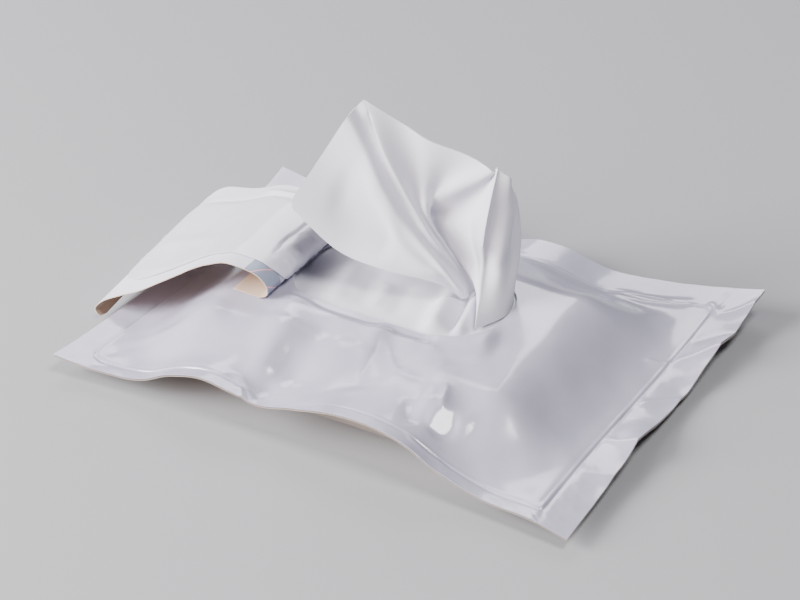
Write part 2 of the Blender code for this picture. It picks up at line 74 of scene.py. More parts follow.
Array = np.ndarray
Stations = tuple[tuple[float, float], ...]


# Curves and distances


def smooth(share: Array | float) -> Array:
    """An S-shaped step from 0 to 1, level at both ends: 3 t squared less 2 t cubed."""
    t = np.clip(share, 0.0, 1.0)
    return t * t * (3 - 2 * t)


def shares_below_one(count: int) -> Array:
    """Even shares from 0 up to 1, without the 1."""
    return np.arange(count) / count


def through(places: Array, values: Array, place: Array | float) -> Array:
    """A smooth curve through stations: cubic pieces whose slopes join their neighbours.

    Args:
        places: where the stations stand, in rising order.
        values: a value, or a row of values, for each station.
        place: where the curve is read, held to the first and last station.

    Returns:
        The values there, with the shape of place and then the shape of one value.
    """
    last = len(places) - 1
    low = np.maximum(np.arange(last + 1) - 1, 0)
    high = np.minimum(np.arange(last + 1) + 1, last)
    runs = (places[high] - places[low]).reshape(-1, *[1] * (values.ndim - 1))
    slopes = (values[high] - values[low]) / runs
    place = np.asarray(place, float)
    index = np.clip(np.searchsorted(places, place, side="right") - 1, 0, last - 1)
    span = places[index + 1] - places[index]
    t = np.clip((place - places[index]) / span, 0.0, 1.0)
    shape = (*place.shape, *[1] * (values.ndim - 1))
    t, span = t.reshape(shape), span.reshape(shape)
    return ((2 * t**3 - 3 * t**2 + 1) * values[index] + (t**3 - 2 * t**2 + t) * span * slopes[index]
            + (3 * t**2 - 2 * t**3) * values[index + 1] + (t**3 - t**2) * span * slopes[index + 1])


def height_through(stations: Stations, place: Array | float) -> Array:
    """The value of a smooth curve through (place, value) stations."""
    table = np.array(stations, float)
    return through(table[:, 0], table[:, 1], place)


def line_through(points: Array, share: Array | float) -> Array:
    """Points of a smooth curve through evenly timed points, at shares from 0 to 1."""
    return through(np.linspace(0.0, 1.0, len(points)), points, share)


def nearest_on(path: Array, points: Array) -> tuple[Array, Array, Array]:
    """The distance of many points from a path of straight pieces.

    Args:
        path: (k, d) corners of the path.
        points: (..., d) points.

    Returns:
        The distance, the share of the path's length at the nearest place, and the side: 1 to the
        left of a plane path and -1 to its right, or 1 for a path in space.
    """
    runs = np.linalg.norm(np.diff(path, axis=0), axis=1)
    starts = np.concatenate(([0.0], np.cumsum(runs)))
    best = np.full(points.shape[:-1], np.inf)
    share = np.zeros_like(best)
    side = np.ones_like(best)
    for index, run in enumerate(runs):
        along = (path[index + 1] - path[index]) / run
        reach = np.clip((points - path[index]) @ along, 0.0, run)
        off = points - path[index] - reach[..., None] * along
        distance = np.linalg.norm(off, axis=-1)
        nearer = distance < best
        best = np.where(nearer, distance, best)
        share = np.where(nearer, (starts[index] + reach) / starts[-1], share)
        if path.shape[1] == 2:
            turn = np.sign(along[0] * off[..., 1] - along[1] * off[..., 0])
            side = np.where(nearer, turn, side)
    return best, share, side


def cut_in(distance: Array, radius: float) -> Array:
    """How far a round corner cuts into a straight edge at a distance from its other edge."""
    over = np.clip(radius - distance, 0.0, radius)
    return radius - np.sqrt(radius**2 - over**2)


def narrowed(along: Array, start: float, end: float, radii: tuple[float, float]) -> Array:
    """How far round corners at both ends of a strip narrow it at a length along it."""
    total = np.zeros_like(along)
    for distance, radius in ((along - start, radii[0]), (end - along, radii[1])):
        if radius > 0:
            total = np.maximum(total, cut_in(distance, radius))
    return total


def soft_bell(place: Array, start: Array, end: Array, width: float, fade: float) -> Array:
    """A bell across a straight line, which fades at the line's ends.

    Args:
        place: (..., 2) points.
        start: where the line starts.
        end: where it ends.
        width: the bell's width.
        fade: the share of the line over which each end fades.

    Returns:
        The fades times e to the power of less the square of the distance in widths.
    """
    along = end - start
    share = (place - start) @ along / (along @ along)
    off = np.linalg.norm(place - start - share[..., None] * along, axis=-1) / width
    return smooth(share / fade + 0.5) * smooth((1 - share) / fade + 0.5) * np.exp(-off * off)


def square(side_steps: int, end_steps: int) -> tuple[Array, Array]:
    """Shares (u, v) once round the unit square, from its front left corner."""
    side, end = shares_below_one(side_steps), shares_below_one(end_steps)
    u = np.concatenate((side, np.ones_like(end), 1 - side, np.zeros_like(end)))
    v = np.concatenate((np.zeros_like(side), end, np.ones_like(side), 1 - end))
    return u, v


def rounded(turn: tuple[Array, Array], centre: tuple[float, float], length: float, width: float,
            corner: float) -> Array:
    """Plan points of a rectangle with round corners, one for each share round the unit square."""
    x, y = (turn[0] - 0.5) * length, (turn[1] - 0.5) * width
    heart_x, heart_y = length / 2 - corner, width / 2 - corner
    over_x, over_y = np.abs(x) - heart_x, np.abs(y) - heart_y
    in_corner = (over_x > 0) & (over_y > 0)
    reach = np.where(in_corner, corner / np.maximum(np.hypot(over_x, over_y), 1e-9), 1.0)
    x = np.where(in_corner, np.sign(x) * (heart_x + over_x * reach), x)
    y = np.where(in_corner, np.sign(y) * (heart_y + over_y * reach), y)
    return np.stack((centre[0] + x, centre[1] + y), axis=-1)


@dataclass(frozen=True)
class Ruffle:
    """Soft unevenness: its height, and the wavelength and seed of its waves."""

    height: float
    wavelength: float
    seed: float

    def raised(self, x: Array, y: Array) -> Array:
        """Its lift: its height times the mean of five sine waves in different directions."""
        total = np.zeros(np.broadcast(x, y).shape)
        for wave in range(5):
            angle = self.seed + wave * 2.4
            number = 2 * math.pi / (self.wavelength * (0.7 + 0.17 * wave))
            across = x * math.cos(angle) + y * math.sin(angle)
            total += np.sin(across * number + self.seed * 7.1 + wave * 1.9)
        return self.height * total / 5


class Section(Enum):
    """How a fold looks when it is cut across."""

    ROUND = "a soft bell"
    SHARP = "a tent with a fine crest"
    STEP = "level on one side, raised on the other until it dies away"


@dataclass(frozen=True)
class Fold:
    """A fold along a line in the plan or on a sheet, with its line and sizes in millimetres."""

    line: tuple[tuple[float, ...], ...]
    width: float
    height: float
    section: Section = Section.ROUND
    start_fade: float = FADE
    end_fade: float = FADE

    def raised(self, points: Array) -> Array:
        """How far the fold lifts the surface at (..., d) points in metres.

        The lift is the section's height at the distance from the fold's path, and it fades over
        the first and last part of the path.
        """
        path = line_through(np.array(self.line) * MM, np.linspace(0.0, 1.0, 5 * len(self.line)))
        distance, share, side = nearest_on(path, points)
        width = self.width * MM
        if self.section is Section.ROUND:
            form = np.exp(-((distance / width) ** 2))
        elif self.section is Section.SHARP:
            form = np.exp(-(np.hypot(distance, CREST) - CREST) / width)
        else:
            form = np.where(side > 0, np.exp(-((distance / width) ** 2)), np.exp(-distance / CREST))
        for part, fade in ((share, self.start_fade), (1 - share, self.end_fade)):
            form = form * smooth(part / fade) if fade > 0 else form
        return self.height * MM * form


@dataclass(frozen=True)
class Facet:
    """An oval place where taut film is nearly flat, with its sizes in millimetres."""

    centre: tuple[float, float]
    radii: tuple[float, float]
    slopes: tuple[float, float]

    def share(self, x: Array, y: Array) -> Array:
        """How much of the facet's plane shows: 1 over its middle, and 0 outside its oval."""
        across = (x / MM - self.centre[0]) / self.radii[0]
        along = (y / MM - self.centre[1]) / self.radii[1]
        return smooth(1.8 * (1 - np.hypot(across, along)))

    def plane(self, x: Array, y: Array, level: Array) -> Array:
        """Height of the facet's plane, which passes through this level at its centre."""
        return (level + self.slopes[0] * (x - self.centre[0] * MM)
                + self.slopes[1] * (y - self.centre[1] * MM))


# Meshes


@dataclass
class Skin:
    """A mesh before it is an object: points, quads, flat coordinates and each quad's finish."""

    points: Array
    quads: Array
    flat: Array
    finishes: Array


def outward(surface: Array, closed: bool) -> Array:
    """Unit normals of a grid: the cross product of the steps down and across it."""
    down = np.gradient(surface, axis=0)
    if closed:
        across = (np.roll(surface, -1, axis=1) - np.roll(surface, 1, axis=1)) / 2
    else:
        across = np.gradient(surface, axis=1)
    normal = np.cross(down, across)
    return normal / np.linalg.norm(normal, axis=2, keepdims=True)


def cells(rows: int, columns: int, closed: bool) -> Array:
    """Corner numbers of the quads of a grid whose points are numbered row by row."""
    number = np.arange(rows * columns).reshape(rows, columns)
    if closed:
        number = np.concatenate((number, number[:, :1]), axis=1)
    corners = (number[:-1, :-1], number[1:, :-1], number[1:, 1:], number[:-1, 1:])
    return np.stack(corners, axis=-1).reshape(-1, 4)


def rim(near: Array, far: Array, drop: int) -> Array:
    """Quads between the outer face's edge, from near points to far points, and the inner face's."""
    return np.stack((near, far, far + drop, near + drop), axis=-1)


def two_faced(surface: Array, flat: Array, outer: float, inner: float, closed: bool = False) -> Skin:
    """A sheet with an outer face, an inner face and its edges between them.

    Args:
        surface: (rows, columns, 3) points.
        flat: (rows, columns, 2) flat coordinates in metres.
        outer: how far the outer face stands off the surface, along its normal.
        inner: how far the inner face lies behind it.
        closed: whether each row joins its last point to its first.

    Returns:
        The closed skin. Finish 0 is the outer face and the edges, and finish 1 the inner face.
    """
    rows, columns = surface.shape[:2]
    normal = outward(surface, closed)
    points = np.concatenate((surface + normal * outer, surface - normal * inner)).reshape(-1, 3)
    face = cells(rows, columns, closed)
    drop = rows * columns
    number = np.arange(drop).reshape(rows, columns)
    first, last = number[0], number[-1]
    if closed:
        edges = [rim(first, np.roll(first, -1), drop), rim(np.roll(last, -1), last, drop)]
    else:
        left, right = number[:, 0], number[:, -1]
        edges = [rim(first[:-1], first[1:], drop), rim(last[1:], last[:-1], drop),
                 rim(left[1:], left[:-1], drop), rim(right[:-1], right[1:], drop)]
    quads = np.concatenate((face, *edges, face[:, ::-1] + drop))
    finishes = np.zeros(len(quads), int)
    finishes[len(quads) - len(face):] = 1
    return Skin(points, quads, np.concatenate((flat, flat)).reshape(-1, 2), finishes)


def capped(surface: Array, flat: Array) -> Skin:
    """A closed body whose rows are rings, its first and last ring filled in towards their middle.

    Args:
        surface: (rows, columns, 3) points, of which the first and last rings are shrunk to nearly
            nothing, so that one flat face closes each.
        flat: (rows, columns, 2) flat coordinates in metres.

    Returns:
        The closed skin, whose end faces are strips of quads across the small end rings.
    """
    rows, columns = surface.shape[:2]
    half = columns // 2
    strip = np.arange(half - 1)
    ends = []
    for ring, turn in ((np.arange(columns), False), (np.arange(columns) + (rows - 1) * columns, True)):
        quad = np.stack((ring[strip], ring[strip + 1], ring[-strip - 2], ring[-strip - 1]), axis=-1)
        ends.append(quad[:, ::-1] if turn else quad)
    quads = np.concatenate((cells(rows, columns, True), *ends))
    return Skin(surface.reshape(-1, 3), quads, flat.reshape(-1, 2), np.zeros(len(quads), int))


def make_piece(name: str, skin: Skin, finishes: list[bpy.types.Material],
               nodes: tuple[str, ...]) -> bpy.types.Object:
    """Makes a skin an object that stands for CAD nodes.

    Args:
        name: the piece's name.
        skin: its mesh.
        finishes: a material for each number in the skin's finishes.
        nodes: the CAD nodes that it replaces.

    Returns:
        The object, at the origin, with its place in its mesh.
    """
    mesh = bpy.data.meshes.new(name)
    mesh.from_pydata(skin.points.tolist(), [], skin.quads.tolist())
    for finish in finishes:
        mesh.materials.append(finish)
    mesh.polygons.foreach_set("material_index", np.minimum(skin.finishes, len(finishes) - 1))
    corners = np.empty(len(mesh.loops), int)
    mesh.loops.foreach_get("vertex_index", corners)
    layer = mesh.uv_layers.new(name="flat")
    layer.data.foreach_set("uv", skin.flat[corners].astype(np.float32).ravel())
    mesh.shade_smooth()
    mesh.set_sharp_from_angle(angle=SHARP_ANGLE)
    mesh.validate()
    mesh.update()
    piece = bpy.data.objects.new(name, mesh)
    bpy.context.scene.collection.objects.link(piece)
    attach(piece, "root")
    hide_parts(*nodes)
    LOG.info("%s: %d points, %d quads", name, len(skin.points), len(skin.quads))
    return piece


# Finishes


def linear(code: str) -> tuple[float, float, float, float]:
    """The linear colour of an sRGB hex code: each channel through the sRGB curve."""
    channels = [int(code[i:i + 2], 16) / 255 for i in (1, 3, 5)]
    return (*[c / 12.92 if c <= 0.04045 else ((c + 0.055) / 1.055) ** 2.4 for c in channels], 1.0)


def add_node(tree: bpy.types.NodeTree, kind: str, settings: dict[str, Any] | None = None,
             values: dict[str, Any] | None = None, links: dict[str, Any] | None = None) -> Any:
    """Adds a shader node.

    Args:
        tree: the material's node tree.
        kind: the node's type.
        settings: the node's own attributes by name.
        values: input values by the input's name or number.
        links: what each input is linked from, by the input's name or number.

    Returns:
        The node.
    """
    node = tree.nodes.new(kind)
    for name, value in (settings or {}).items():
        setattr(node, name, value)
    for name, value in (values or {}).items():
        node.inputs[name].default_value = value
    for name, source in (links or {}).items():
        tree.links.new(source, node.inputs[name])
    return node


def new_shader(name: str, values: dict[str, Any]) -> tuple[bpy.types.Material, Any, Any]:
    """A material with one Principled shader that has these values, its tree and its shader."""
    material = bpy.data.materials.new(name)
    material.use_nodes = True
    shader = material.node_tree.nodes["Principled BSDF"]
    for socket, value in values.items():
        shader.inputs[socket].default_value = value
    return material, material.node_tree, shader


def noise(tree: bpy.types.NodeTree, place: Any, size_mm: float, detail: float,
          roughness: float = 0.5) -> Any:
    """The strength of a noise whose pattern has this size, read at a socket of places."""
    node = add_node(tree, "ShaderNodeTexNoise", values={
        "Scale": 1 / (size_mm * MM), "Detail": detail, "Roughness": roughness},
        links={"Vector": place})
    return node.outputs["Fac"]


def tinted(tree: bpy.types.NodeTree, share: Any, colour: str, shade: str) -> Any:
    """A colour between two hex colours, by a socket's share."""
    node = add_node(tree, "ShaderNodeMix", {"data_type": "RGBA"}, values={
        6: linear(colour), 7: linear(shade)}, links={0: share})
    return node.outputs[2]


def bumped(tree: bpy.types.NodeTree, height: Any, strength: float, distance: float,
           normal: Any = None) -> Any:
    """A normal that a socket's height bends, over another normal where one is given."""
    links = {"Height": height} if normal is None else {"Height": height, "Normal": normal}
    node = add_node(tree, "ShaderNodeBump", values={"Strength": strength, "Distance": distance},
                    links=links)
    return node.outputs["Normal"]


@dataclass(frozen=True)
class LaminateFilm:
    """Blown polyethylene and polyester laminate: white pigment under a clear, glossy skin.

    The eye sees soft, bright reflections that its faint unevenness bends a little.
    """

    name: str
    colour: str
    shade: str
    roughness: float
    coat: float = 0.40
    coat_roughness: float = 0.11
    dapple_mm: float = 9.0
    grain_mm: float = 0.8

    def material(self) -> bpy.types.Material:
        """The film's material: a slow dapple tints it, and dapple and grain lift its surface."""
        material, tree, shader = new_shader(self.name, {
            "Roughness": self.roughness, "IOR": 1.5, "Specular IOR Level": 0.5,
            "Coat Weight": self.coat, "Coat Roughness": self.coat_roughness})
        place = add_node(tree, "ShaderNodeTexCoord").outputs["Object"]
        dapple = noise(tree, place, self.dapple_mm, 2.0, 0.45)
        grain = noise(tree, place, self.grain_mm, 2.0)
        soft = bumped(tree, dapple, 0.35, 0.0004)
        tree.links.new(tinted(tree, dapple, self.colour, self.shade), shader.inputs["Base Color"])
        tree.links.new(bumped(tree, grain, 0.08, 0.00005, soft), shader.inputs["Normal"])
        return material


@dataclass(frozen=True)
class LabelPaper:
    """Coated polypropylene label stock: white, thin, and duller than the pouch film.

    The eye sees a satin face with faint mottling.
    """

    name: str
    colour: str
    shade: str
    roughness: float
    mottle_mm: float = 4.0
    printed: bool = False
    field_colour: str = "#8C94A6"
    line_colour: str = "#DDA9B4"
    field_mm: tuple[float, float, float] = (2.0, 20.0, 8.5)
    line_gap_mm: float = 4.3
    line_width_mm: float = 0.7

    def material(self) -> bpy.types.Material:
        """The label's material: a mottle between two close colours, which also lifts it a little."""
        material, tree, shader = new_shader(self.name, {"Roughness": self.roughness, "IOR": 1.48})
        place = add_node(tree, "ShaderNodeTexCoord").outputs["Object"]
        mottle = noise(tree, place, self.mottle_mm, 3.0)
        face = tinted(tree, mottle, self.colour, self.shade)
        if self.printed:
            face = self.print_on(tree, face)
        tree.links.new(face, shader.inputs["Base Color"])
        tree.links.new(bumped(tree, mottle, 0.25, 0.00015), shader.inputs["Normal"])
        return material

    def print_on(self, tree: bpy.types.NodeTree, face: Any) -> Any:
        """Prints a plain field with a few straight lines over a face's colour.

        Args:
            tree: the label's node tree.
            face: the colour under the print.

        Returns:
            The printed colour. The field lies between two lengths along the flap and ends at a
            distance from its front edge; a line shows where a folded distance is short.
        """
        start, end, depth = (value * MM for value in self.field_mm)
        place = add_node(tree, "ShaderNodeUVMap", {"uv_map": "flat"})
        parts = add_node(tree, "ShaderNodeSeparateXYZ", links={0: place.outputs["UV"]})
        inside = add_node(tree, "ShaderNodeMath", {"operation": "COMPARE"}, values={
            1: (start + end) / 2, 2: (end - start) / 2}, links={0: parts.outputs["X"]})
        near = add_node(tree, "ShaderNodeMath", {"operation": "LESS_THAN"}, values={1: depth},
                        links={0: parts.outputs["Y"]})
        field = add_node(tree, "ShaderNodeMath", {"operation": "MULTIPLY"},
                         links={0: inside.outputs[0], 1: near.outputs[0]})
        slant = add_node(tree, "ShaderNodeMath", {"operation": "MULTIPLY_ADD"}, values={1: 0.7},
                         links={0: parts.outputs["Y"], 2: parts.outputs["X"]})
        folded = add_node(tree, "ShaderNodeMath", {"operation": "PINGPONG"}, values={
            1: self.line_gap_mm * MM}, links={0: slant.outputs[0]})
        line = add_node(tree, "ShaderNodeMath", {"operation": "LESS_THAN"}, values={
            1: self.line_width_mm / 2 * MM}, links={0: folded.outputs[0]})
        inked = tinted(tree, line.outputs[0], self.field_colour, self.line_colour)
        shown = add_node(tree, "ShaderNodeMix", {"data_type": "RGBA"}, links={
            0: field.outputs[0], 6: face, 7: inked})
        return shown.outputs[2]


@dataclass(frozen=True)
class Nonwoven:
    """Spunlaced viscose and polyester, damp: fibres tangled by water jets into a soft white cloth.

    The eye sees a matt, even white with a very fine fibrous grain. The real fibres are 0.02 mm
    thick and don't show, so the grain is drawn at the size of their tangles.
    """

    name: str = "spunlace nonwoven"
    colour: str = "#D6D5DF"
    shade: str = "#CCCBD7"
    tangle_mm: float = 0.45
    fibre_mm: float = 0.16

    def material(self) -> bpy.types.Material:
        """The cloth's material: tangles tint and lift it, and drawn-out fibres run along it."""
        material, tree, shader = new_shader(self.name, {
            "Roughness": 0.88, "IOR": 1.4, "Specular IOR Level": 0.25, "Sheen Weight": 0.15,
            "Sheen Roughness": 0.5})
        place = add_node(tree, "ShaderNodeUVMap", {"uv_map": "flat"})
        flat = place.outputs["UV"]
        along = add_node(tree, "ShaderNodeMapping", values={"Scale": (1.0, 0.28, 1.0)},
                         links={"Vector": flat})
        tangle = noise(tree, flat, self.tangle_mm, 3.0, 0.6)
        fibre = noise(tree, along.outputs["Vector"], self.fibre_mm, 2.0)
        coarse = bumped(tree, tangle, 0.22, 0.00012)
        tree.links.new(tinted(tree, tangle, self.colour, self.shade), shader.inputs["Base Color"])
        tree.links.new(bumped(tree, fibre, 0.15, 0.00006, coarse), shader.inputs["Normal"])
        return material


# Pouch


@dataclass
class Pouch:
    """The four-side-seal pouch: a top film with the die-cut mouth, and a bottom film."""

    length: float = 0.220
    width: float = 0.151
    film: float = 0.00035
    seal_left: float = 0.0112
    seal_right: float = 0.0140
    seal_front: float = 0.0065
    seal_back: float = 0.0130
    side_pull_in: float = 0.0045
    end_pull_in: float = 0.0020
    gap: float = 0.0003
    contact: float = 0.0001
    left_corner: float = 0.0075
    right_corner: float = 0.0015
    slack_x: float = 0.004
    slack_width: float = 0.032
    slack_fade: float = 0.02
    slack_share: float = 0.85
    bead_width: float = 0.0005
    bead_height: float = 0.00035
    groove_height: float = -0.00035
    groove_offset: float = 0.0010
    plump: float = 0.0007
    plump_rise: float = 0.0018
    plump_fade: float = 0.014
    ramp_share: float = 0.2
    band_fade: float = 0.004
    film_fade: float = 0.010
    mouth_fade: float = 0.014
    crown: float = 0.0215
    end_slope: float = 0.038
    side_slope: float = 0.034
    belly_end_slope: float = 0.026
    belly_side_slope: float = 0.0150
    mouth_length: float = 0.086
    mouth_width: float = 0.044
    mouth_corner: float = 0.015
    mouth_x: float = -0.0035
    mouth_y: float = 0.0030
    mouth_slack: float = 0.0030
    lip_width: float = 0.0045
    lip_slack: float = 0.85
    lip_slack_start: float = 0.72
    lip_slack_run: float = 0.2
    side_steps: int = 224
    end_steps: int = 146

    # Rings of the top film on its lip, its panel and its seal band, which crowd towards the seals
    lip_rings: int = 9
    panel_rings: int = 39
    panel_power: float = 1.25
    band_rings: int = 16
    band_power: float = 1.5

    # Rings of the bottom film: shares of its flat foot, then how many on its rise and its seals
    foot_rings: tuple[float, ...] = (0.004, 0.35, 0.7)
    belly_rings: int = 23
    hem_rings: int = 14

    # Unevenness of the seals' inner line, of the seal bands and of the film inside them
    seal_ruffle: Ruffle = Ruffle(0.5, 0.020, 1.0)
    band_ruffles: tuple[Ruffle, ...] = (Ruffle(0.00012, 0.011, 2.0), Ruffle(0.00005, 0.004, 5.0))
    film_ruffles: tuple[Ruffle, ...] = (Ruffle(0.00020, 0.021, 0.6), Ruffle(0.0005, 0.070, 3.3))

    # Heights of the hems: (place along the hem from 0 to 1, height)
    front_hem: Stations = (
        (0.00, 0.0086), (0.08, 0.0070), (0.17, 0.0082), (0.24, 0.0148), (0.305, 0.0179),
        (0.355, 0.0162), (0.41, 0.0136), (0.48, 0.0170), (0.565, 0.0212), (0.64, 0.0217),
        (0.70, 0.0188), (0.755, 0.0125), (0.84, 0.0074), (0.93, 0.0074), (1.00, 0.0050))
    back_hem: Stations = (
        (0.00, 0.0066), (0.10, 0.0045), (0.22, 0.0080), (0.34, 0.0125), (0.44, 0.0090),
        (0.51, 0.0066), (0.575, 0.0095), (0.63, 0.0090), (0.71, 0.0044), (0.80, 0.0050),
        (0.90, 0.0078), (1.00, 0.0120))
    left_hem: Stations = (
        (0.00, 0.0086), (0.12, 0.0068), (0.28, 0.0055), (0.50, 0.0048), (0.74, 0.0062),
        (0.90, 0.0046), (1.00, 0.0066))
    right_hem: Stations = (
        (0.00, 0.0050), (0.16, 0.0050), (0.29, 0.0062), (0.37, 0.0080), (0.45, 0.0056),
        (0.52, 0.0040), (0.61, 0.0036), (0.70, 0.0064), (0.79, 0.0078), (0.86, 0.0076),
        (1.00, 0.0120))

    # The right seal's inner line, straighter than its hem
    right_line: Stations = (
        (0.00, 0.0050), (0.25, 0.0053), (0.50, 0.0050), (0.75, 0.0064), (1.00, 0.0120))

    # Lip in profile: (distance from the cut edge in lip widths, height)
    lip_profile: Stations = ((0, -0.0008), (1, 0.0009), (2.4, 0), (3, 0))

    # Broad folds: start and end as shares of the plan, width, height
    broad_folds: tuple[tuple[tuple[float, float], tuple[float, float], float, float], ...] = (
        ((0.385, 0.08), (0.335, 0.37), 0.0070, 0.0018),
        ((0.44, 0.10), (0.42, 0.30), 0.0070, -0.0014),
        ((0.51, 0.36), (0.555, 0.14), 0.0055, 0.0014),
        ((0.53, 0.34), (0.60, 0.24), 0.0055, -0.0010),
        ((0.60, 0.40), (0.70, 0.43), 0.0090, 0.0020),
        ((0.66, 0.30), (0.70, 0.12), 0.0070, 0.0012),
        ((0.76, 0.40), (0.92, 0.28), 0.0080, -0.0003),
        ((0.74, 0.74), (0.90, 0.86), 0.0065, 0.0004),
        ((0.14, 0.14), (0.24, 0.24), 0.0065, 0.0012))
    fold_fade: float = 0.3

    # Creases of the top film alone, in millimetres on the plan
    creases: tuple[Fold, ...] = (
        Fold(((6, -27), (8, -36), (10, -46), (14, -55)), 6.5, -1.7),
        Fold(((-29, -64), (-30, -48), (-33, -28)), 9.0, 0.8),
        Fold(((5, -24), (7.5, -34), (9.7, -45), (11.6, -53)), 2.0, -0.45, Section.SHARP),
        Fold(((6, -25), (11, -29), (18.4, -37), (25, -39.8), (35, -40.5)), 1.6, 0.45, Section.SHARP),
        Fold(((-45, -19.5), (-37, -19), (-27, -20.5), (-12, -23.4), (2, -23.8)), 1.3, 0.45),
        Fold(((3, -23.6), (12, -23), (22, -23.2), (34, -25)), 1.4, 0.40),
        Fold(((-41, -67), (-34, -63), (-28.5, -64.5), (-24, -68), (-20.5, -71.5)), 1.0, 0.5,
             Section.SHARP),
        Fold(((-17.5, -69.6), (-21.5, -59), (-22.3, -50), (-21.3, -39)), 3.6, -0.45),
        Fold(((36, -49), (42, -48.5), (50, -49), (60, -51)), 5.5, 1.4),
        Fold(((42, -38), (44, -44), (46.5, -51)), 1.4, 0.8, Section.SHARP),
        Fold(((34, -50), (36, -56), (41, -62)), 3.0, -0.8),
        Fold(((40, -65), (45, -67.5), (51, -68), (60, -67)), 0.8, 0.45, Section.SHARP),
        Fold(((50, 60.5), (62, 59.5), (76, 61), (90, 63.5)), 2.6, 0.9),
        Fold(((52, 58), (64, 56.5), (78, 58.5), (90, 62)), 1.1, 0.9, Section.SHARP),
        Fold(((57, 61), (68, 60.2), (80, 61.5)), 1.0, 0.8, Section.SHARP),
        Fold(((92, 65), (96, 62), (100, 59)), 0.9, 0.7, Section.SHARP),
        Fold(((88, 61.5), (94, 61), (99, 60)), 0.9, 0.6, Section.SHARP),
        Fold(((86, 24), (91, 24.5), (97, 28)), 1.0, 0.7, Section.SHARP),
        Fold(((97.2, 58), (98, 66), (98.6, 74)), 0.6, -0.5, Section.ROUND, 0.2, 0.0),
        Fold(((96.2, 58), (97, 66), (97.6, 74)), 0.6, 0.3, Section.ROUND, 0.2, 0.0),
        Fold(((96.6, -64), (96.8, -69), (97, -75)), 0.6, -0.5, Section.ROUND, 0.2, 0.0),
        Fold(((95.6, -64), (95.8, -69), (96, -75)), 0.6, 0.3, Section.ROUND, 0.2, 0.0),
        Fold(((-96, -57), (-82, -50), (-66, -44)), 2.6, 0.35),
        Fold(((-92, -62), (-78, -56), (-62, -52)), 3.0, 0.3))

    # Taut places between creases
    facets: tuple[Facet, ...] = (
        Facet((48.8, -53.8), (6.4, 7.4), (-0.58, 0.47)),)

    # Bends of the seal bands, which both films follow
    bends: tuple[Fold, ...] = (
        Fold(((92, 25), (101, 32), (110, 44)), 2.2, 1.3, Section.SHARP, 0.15, 0.0),
        Fold(((96, -1), (101, 4.4), (108, 11)), 2.4, 0.9, Section.SHARP, 0.15, 0.0),
        Fold(((94, -23.5), (102, -24), (111, -20.5)), 2.0, 1.0, Section.SHARP, 0.15, 0.0),
        Fold(((97, 57), (104, 62), (111, 70)), 1.8, 0.9, Section.SHARP, 0.15, 0.0),
        Fold(((95, -44), (103, -42), (111, -38)), 3.0, 0.6, Section.ROUND, 0.15, 0.0),
        Fold(((95, 42), (103, 47), (111, 54)), 3.0, -0.6, Section.ROUND, 0.15, 0.0),
        Fold(((-30, -66), (-26, -70), (-24, -74)), 1.4, 0.9, Section.SHARP, 0.15, 0.0),
        Fold(((-110, -10), (-104, -8), (-97, -4)), 2.5, 0.5, Section.ROUND, 0.0, 0.15))

    def plan_point(self, u: Array, v: Array) -> tuple[Array, Array]:
        """Plan place of a share (u, v) of the pouch, whose hems bow in between its corners."""
        x = (2 * u - 1) * (self.length / 2 - self.end_pull_in * 4 * v * (1 - v))
        y = (2 * v - 1) * (self.width / 2 - self.side_pull_in * 4 * u * (1 - u))
        return x, y

    def plan_share(self, x: Array, y: Array) -> tuple[Array, Array]:
        """The share (u, v) of the pouch at a plan place, found by four corrections."""
        u, v = x / self.length + 0.5, y / self.width + 0.5
        for _ in range(4):
            u, v = (0.5 + x / (self.length - 8 * self.end_pull_in * v * (1 - v)),
                    0.5 + y / (self.width - 8 * self.side_pull_in * u * (1 - u)))
        return u, v

    def hem_height(self, u: Array, v: Array) -> Array:
        """Height of the hems, blended from the four sides less the blend of the corners."""
        u, v = np.clip(u, 0.0, 1.0), np.clip(v, 0.0, 1.0)
        front, back = height_through(self.front_hem, u), height_through(self.back_hem, u)
        left, right = height_through(self.left_hem, v), height_through(self.right_hem, v)
        straight = smooth((1 - u) * self.length / self.seal_right)
        right = right + (height_through(self.right_line, v) - right) * straight
        corners = ((1 - u) * ((1 - v) * self.left_hem[0][1] + v * self.left_hem[-1][1])
                   + u * ((1 - v) * self.right_hem[0][1] + v * self.right_hem[-1][1]))
        return (1 - v) * front + v * back + (1 - u) * left + u * right - corners

    def rise(self, u: Array, v: Array, end_slope: float, side_slope: float) -> Array:
        """How far the film has risen from its seals, from 0 on them to 1 at its full height."""
        along = np.minimum(u * self.length - self.seal_left, (1 - u) * self.length - self.seal_right)
        across = np.minimum(v * self.width - self.seal_front, (1 - v) * self.width - self.seal_back)
        return self.ramp(along / end_slope) * self.ramp(across / side_slope)

    def ramp(self, share: Array) -> Array:
        """A step from 0 to 1 between a straight ramp and a smooth one."""
        straight = np.clip(share, 0.0, 1.0)
        return smooth(share) + self.ramp_share * (straight - smooth(share))

    def seal_distance(self, u: Array, v: Array) -> Array:
        """Distance outside the seals' inner line, a rectangle with rounder corners on the left."""
        half_length = (self.length - self.seal_left - self.seal_right) / 2
        half_width = (self.width - self.seal_front - self.seal_back) / 2
        corner = np.where(u < 0.5, self.left_corner, self.right_corner)
        away_x = np.abs(u * self.length - self.seal_left - half_length) - half_length + corner
        away_y = np.abs(v * self.width - self.seal_front - half_width) - half_width + corner
        outside = np.hypot(np.maximum(away_x, 0), np.maximum(away_y, 0))
        return outside + np.minimum(np.maximum(away_x, away_y), 0) - corner

    def seal_strength(self, x: Array, y: Array) -> Array:
        """How sharply the seals' inner line shows: weak where the front hem is drawn up."""
        slack = np.exp(-(((x - self.slack_x) / self.slack_width) ** 2)) * smooth(-y / self.slack_fade)
        return (1 - self.slack_share * slack) * (1 + self.seal_ruffle.raised(x, y))

